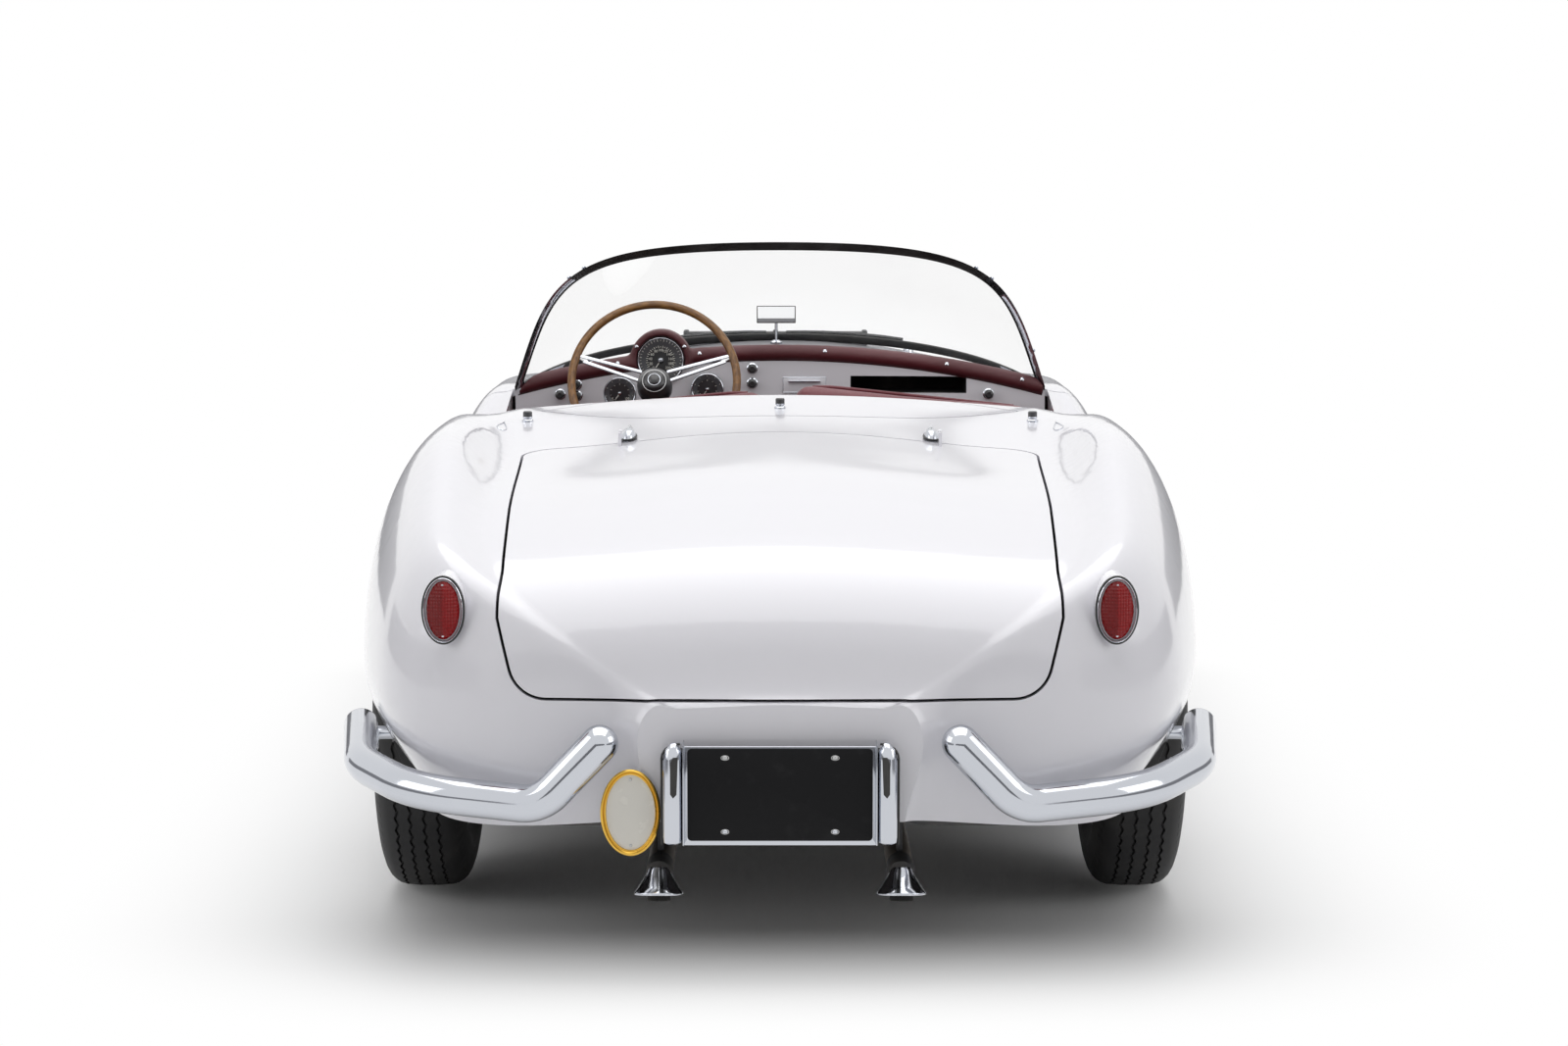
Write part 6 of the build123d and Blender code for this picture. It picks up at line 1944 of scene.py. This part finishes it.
@dataclass
class PlateGroup:
    """The blank plate, its bright frame, its bolts and the lamps beside it."""

    half: float = 0.15
    corner: float = 0.007
    low: float = 0.266
    high: float = 0.417
    y: float = -2.075
    surround: tuple[float, float, float] = (0.1555, 0.2585, 0.4205)
    lamp_face: float = -2.094
    lamp_x: float = 0.1742
    lamp_z: Pair = (0.262, 0.424)
    lamp_radius: float = 0.0162
    flange_x: Pair = (0.1553, 0.1572)
    back_x: Pair = (0.1575, 0.1885)
    bolt_x: float = 0.089
    bolt_z: float = 0.0605
    gasket_x: float = 0.0172
    gasket_drop: float = 0.022
    gasket_turn: float = 0.03
    gasket_rise: float = 0.0235
    slot: tuple[Pair, ...] = (
        (0.1645, 0.4055),
        (0.1725, 0.4055),
        (0.1772, 0.3965),
        (0.1772, 0.3455),
        (0.1725, 0.3388),
        (0.1668, 0.3450),
    )

    def facing(self, y: float, z: float = 0.0) -> Matrix:
        """The placement of a flat outline that is seen from behind."""
        return Matrix.Translation((0, y, z)) @ Matrix.Rotation(math.radians(90), 4, "X")

    def dress(self) -> None:
        """Plate and lamps as two pieces."""
        self.dress_plate()
        self.dress_lamps()

    def dress_plate(self) -> None:
        """The blank plate in its bright surround, on four bolts."""
        form = Form(PLATE_BLACK, CHROME, SATIN)
        middle = (self.low + self.high) / 2
        half_x, half_z = self.half - self.corner, (self.high - self.low) / 2 - self.corner
        outline = []
        for turn, x, z in ((0, 1, 1), (90, -1, 1), (180, -1, -1), (270, 1, -1)):
            outline += arc(self.corner, turn, turn + 90, 6, (x * half_x, z * half_z))
        form.plate(outline, 0.0015, self.facing(self.y + 0.0014, middle), 0, 0.0004)
        half, low, high = self.surround
        form.block((-half, self.y + 0.0012, low), (half, self.y + 0.004, high), 1, 0.0012)
        slot = [(0.0068, 0.0), (0.0068, 0.0009), (0.0058, 0.0013), (0.0052, 0.0004)]
        head = [(0.0, 0.0021), (0.003, 0.0018), (0.0045, 0.0006)]
        for sx in (-1, 1):
            for sz, finish in ((-1, 1), (1, 2)):
                spot = (sx * self.bolt_x, self.y, middle + sz * self.bolt_z)
                seat = Axis.REARWARD.frame(spot)
                form.lathe(slot, seat, 2, 28, (1, 0.62))
                form.lathe(head, seat, finish, 20, (1, 0.8))
        form.done("blank_plate", "chassis", ["number_plate"], 35)

    def lamp_spine(self, side: int) -> list[Vector]:
        """The lamp's middle line, which leans inward at its top."""
        low, high = self.lamp_z
        tall = high - low
        rises = (0.0, 0.003, 0.012, tall - 0.026, tall - 0.01, tall - 0.002, tall)
        leans = (0.0, 0.0, 0.0, 0.0, 0.0022, 0.0055, 0.008)
        y = self.lamp_face + self.lamp_radius
        return [
            Vector((side * self.lamp_x - side * lean, y, low + rise))
            for rise, lean in zip(rises, leans)
        ]

    def lamp_gasket(self, side: int) -> list[Vector]:
        """The black line up the lamp's outer edge and over its shoulder."""
        low, high = self.lamp_z
        x, y = side * self.lamp_x, self.lamp_face + self.lamp_radius - 0.002
        turn_z = high - self.gasket_drop
        line = [Vector((x + side * self.gasket_x, y, z)) for z in (low - 0.001, turn_z)]
        for turn in range(15, 91, 15):
            reach = math.radians(turn)
            across = self.gasket_x - self.gasket_turn * (1 - math.cos(reach))
            rise = self.gasket_rise * math.sin(reach)
            line.append(Vector((x + side * across, y, turn_z + rise)))
        return line

    def dress_lamps(self) -> None:
        """Half-round upright lamps, each with its slot, gasket and flange."""
        form = Form(CHROME, SEAL)
        place = self.facing(self.lamp_face + 0.003)
        spine = self.lamp_face + self.lamp_radius
        low, high = self.lamp_z
        widths = [self.lamp_radius * share for share in (0.7, 0.95, 1.0, 1.0, 0.86, 0.58, 0.3)]
        for side in (-1, 1):
            form.tube(self.lamp_spine(side), widths, 0, 40)
            outline = [(side * x, z) for x, z in self.slot]
            form.plate(outline, 0.0034, place, 1, 0.0005)
            form.tube(self.lamp_gasket(side), 0.0019, 1, 10)
            left, right = sorted(side * x for x in self.flange_x)
            form.block((left, -2.0885, 0.2605), (right, -2.04, 0.4255), 0, 0.0006)
            left, right = sorted(side * x for x in self.back_x)
            form.block((left, spine, low), (right, -2.03, high - 0.012), 1, 0.003)
        form.done("plate_lamp_set", "chassis", ["plate_lamps"], 40)


@dataclass
class OvalSign:
    """A blank oval sign with a double gold rim."""

    centre: Point = (-0.243, -2.0498, 0.308)
    half: Pair = (0.049, 0.071)
    rivet_z: float = 0.0545

    def dress(self) -> None:
        """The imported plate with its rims, a cream field and two rivets."""
        form = Form(CREAM, GOLD, SATIN)
        form.node("oval_sign")
        seat = Axis.REARWARD.frame(self.centre)
        outer = [(0.0, -0.001), (0.0, 0.0035), (0.0016, 0.0054), (0.0036, 0.0058), (0.005, 0.0034)]
        outer += [(0.0062, 0.0026), (0.0074, 0.0033), (0.0086, 0.0036), (0.0094, 0.0)]
        form.oval(outer, self.half, seat, 1)
        for end in (-1, 1):
            rivet = seat @ Matrix.Translation((0, end * self.rivet_z, 0.0))
            form.lathe([(0.0, 0.0022), (0.0021, 0.0016), (0.0029, 0.0)], rivet, 2, 16)
        form.done("blank_sign", "chassis", ["oval_sign"], 40)


# --- Studio ---------------------------------------------------------------------
@dataclass
class Studio:
    """Pale floor, soft lamps, dark flags, white surround and the camera."""

    camera: Point = (0.0, -7.375, 1.320)
    pitch: float = 5.785
    lens: float = 76.32
    shift: float = 0.0025
    floor_half: float = 30.0
    core: Pair = (0.5, 1.45)
    fade: Pair = (0.05, 0.85)
    ambient: float = 0.46
    top_power: float = 145.0
    side_power: float = 34.0
    side_x: float = 5.0
    flags: dict[str, tuple[Point, Point, float]] = field(
        default_factory=lambda: {
            "rear_flag": ((-7.0, -13.2, 0.02), (7.0, -13.0, 1.9), 0.22),
            "left_flag": ((-7.2, -9.0, 0.02), (-7.0, 6.0, 1.3), 0.3),
            "right_flag": ((7.0, -9.0, 0.02), (7.2, 6.0, 1.3), 0.3),
            "front_flag": ((-7.0, 9.0, 0.02), (7.0, 9.2, 1.6), 0.25),
        }
    )

    def dress_floor(self) -> None:
        """A pale floor that keeps the shadow and fades to white round it."""
        graph = Graph("studio_floor")
        x, y, _ = graph.parts(graph.place())
        beside = (abs(x) - self.core[0]).over(0.0)
        beyond = (abs(y) - self.core[1]).over(0.0)
        far = ((beside * beside) + (beyond * beyond)) ** 0.5
        far = far.ramp(*self.fade)
        camera, mirrored, passed = graph.rays("Camera", "Glossy", "Transmission")
        seen = graph.node("Clamp", None, {0: camera + mirrored + passed})
        speckle = graph.noise(900.0, 2.0)
        cover = graph.surface(
            base_color=graph.blend(speckle * 0.05, (0.86, 0.86, 0.86, 1), (0.8, 0.8, 0.8, 1)),
            roughness=speckle * 0.1 + 0.5,
            specular_ior_level=0.25,
        )
        white = graph.node("Emission", None, {0: (1, 1, 1, 1), 1: 1.0})
        mixed = graph.node("MixShader", None, {0: seen * far, 1: cover, 2: white})
        part = bmesh.new()
        bmesh.ops.create_grid(part, x_segments=8, y_segments=8, size=self.floor_half)
        data = as_data("studio_floor", part)
        data.materials.append(graph.close(mixed))
        floor = placed("studio_floor", data)

    def dress_flag(self, name: str, low: Point, high: Point, shade: float) -> None:
        """A dark board that is seen in polished surfaces alone.

        Args:
            name: Its name.
            low: Its lowest corner.
            high: Its highest corner.
            shade: How much light it gives back.
        """
        graph = Graph(f"{name}_cloth")
        weave = graph.noise(3.0, 2.0)
        tone = graph.blend(weave * 0.3, (shade, shade, shade * 1.05, 1), (shade * 0.7,) * 3 + (1,))
        data = as_data(name, box(low, high))
        glow = graph.node("Emission", None, {0: tone, 1: 1.0})
        data.materials.append(graph.close(glow))
        flag = placed(name, data)
        flag.visible_camera = flag.visible_diffuse = flag.visible_shadow = False
        flag.visible_transmission = flag.visible_volume_scatter = False

    def dress_world(self) -> None:
        """A pale even surround that is white where it is looked at or mirrored."""
        world = bpy.data.worlds.new("surround")
        bpy.context.scene.world = world
        graph = Graph("surround", world)
        camera, passed, mirrored = graph.rays("Camera", "Transmission", "Glossy")
        seen = camera.over(passed).over(mirrored)
        strength = graph.node("MapRange", None, {0: seen, 3: self.ambient, 4: 1.0})
        glow = graph.node("Background", None, {0: (1, 1, 1, 1), 1: strength})
        graph.close(glow, "World")

    def lamp(self, name: str, place: Point, aim_at: Point, size: Pair, power: float) -> None:
        """A soft rectangular lamp.

        Args:
            name: Its name.
            place: Where it hangs.
            aim_at: The point it faces.
            size: Its width and height.
            power: Its power in watts.
        """
        data = bpy.data.lights.new(name, "AREA")
        data.shape = "RECTANGLE"
        data.size, data.size_y = size
        data.energy = power
        lamp = placed(name, data)
        way = Vector(aim_at) - Vector(place)
        lamp.location = place
        lamp.rotation_euler = way.to_track_quat("-Z", "Y").to_euler()

    def dress(self) -> None:
        """Floor, surround, lamps, camera and plain colour handling."""
        self.dress_floor()
        self.dress_world()
        for name, (low, high, shade) in self.flags.items():
            self.dress_flag(name, low, high, shade)
        self.lamp("top_light", (0.0, -0.4, 4.2), (0.0, -0.2, 0.0), (4.6, 7.0), self.top_power)
        for name, side in (("left_light", -1), ("right_light", 1)):
            place = (side * self.side_x, -2.6, 2.6)
            self.lamp(name, place, (0.0, -0.4, 0.5), (3.0, 2.4), self.side_power)
        data = bpy.data.cameras.new("rear_camera")
        data.sensor_width = 36.0
        data.lens = self.lens
        data.shift_x = self.shift
        data.clip_end = 200.0
        camera = placed("rear_camera", data)
        camera.location = self.camera
        camera.rotation_euler = (math.radians(90 - self.pitch), 0, 0)
        scene = bpy.context.scene
        scene.camera = camera
        scene.view_settings.view_transform = "Standard"


WHEELS = {
    "front_left": (-0.64, 1.32),
    "front_right": (0.64, 1.32),
    "rear_left": (-0.66, -1.13),
    "rear_right": (0.66, -1.13),
}


def main() -> None:
    """Dress every assembly in order."""
    logging.basicConfig(level=logging.INFO, format="%(name)s: %(message)s")
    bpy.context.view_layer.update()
    Bodywork().dress()
    Underbody().dress()
    for ending, (x, y) in WHEELS.items():
        RoadWheel(ending, x, y).dress()
    BucketSeat("left", -1, lower=0.013).dress()
    BucketSeat("right", 1).dress()
    Dash().dress()
    SteeringWheel().dress()
    CabinSmalls().dress()
    Windscreen().dress()
    Brightwork().dress()
    RearLamps().dress()
    FrontLamps().dress()
    PlateGroup().dress()
    OvalSign().dress()
    Studio().dress()


if __name__ == "__main__":
    main()
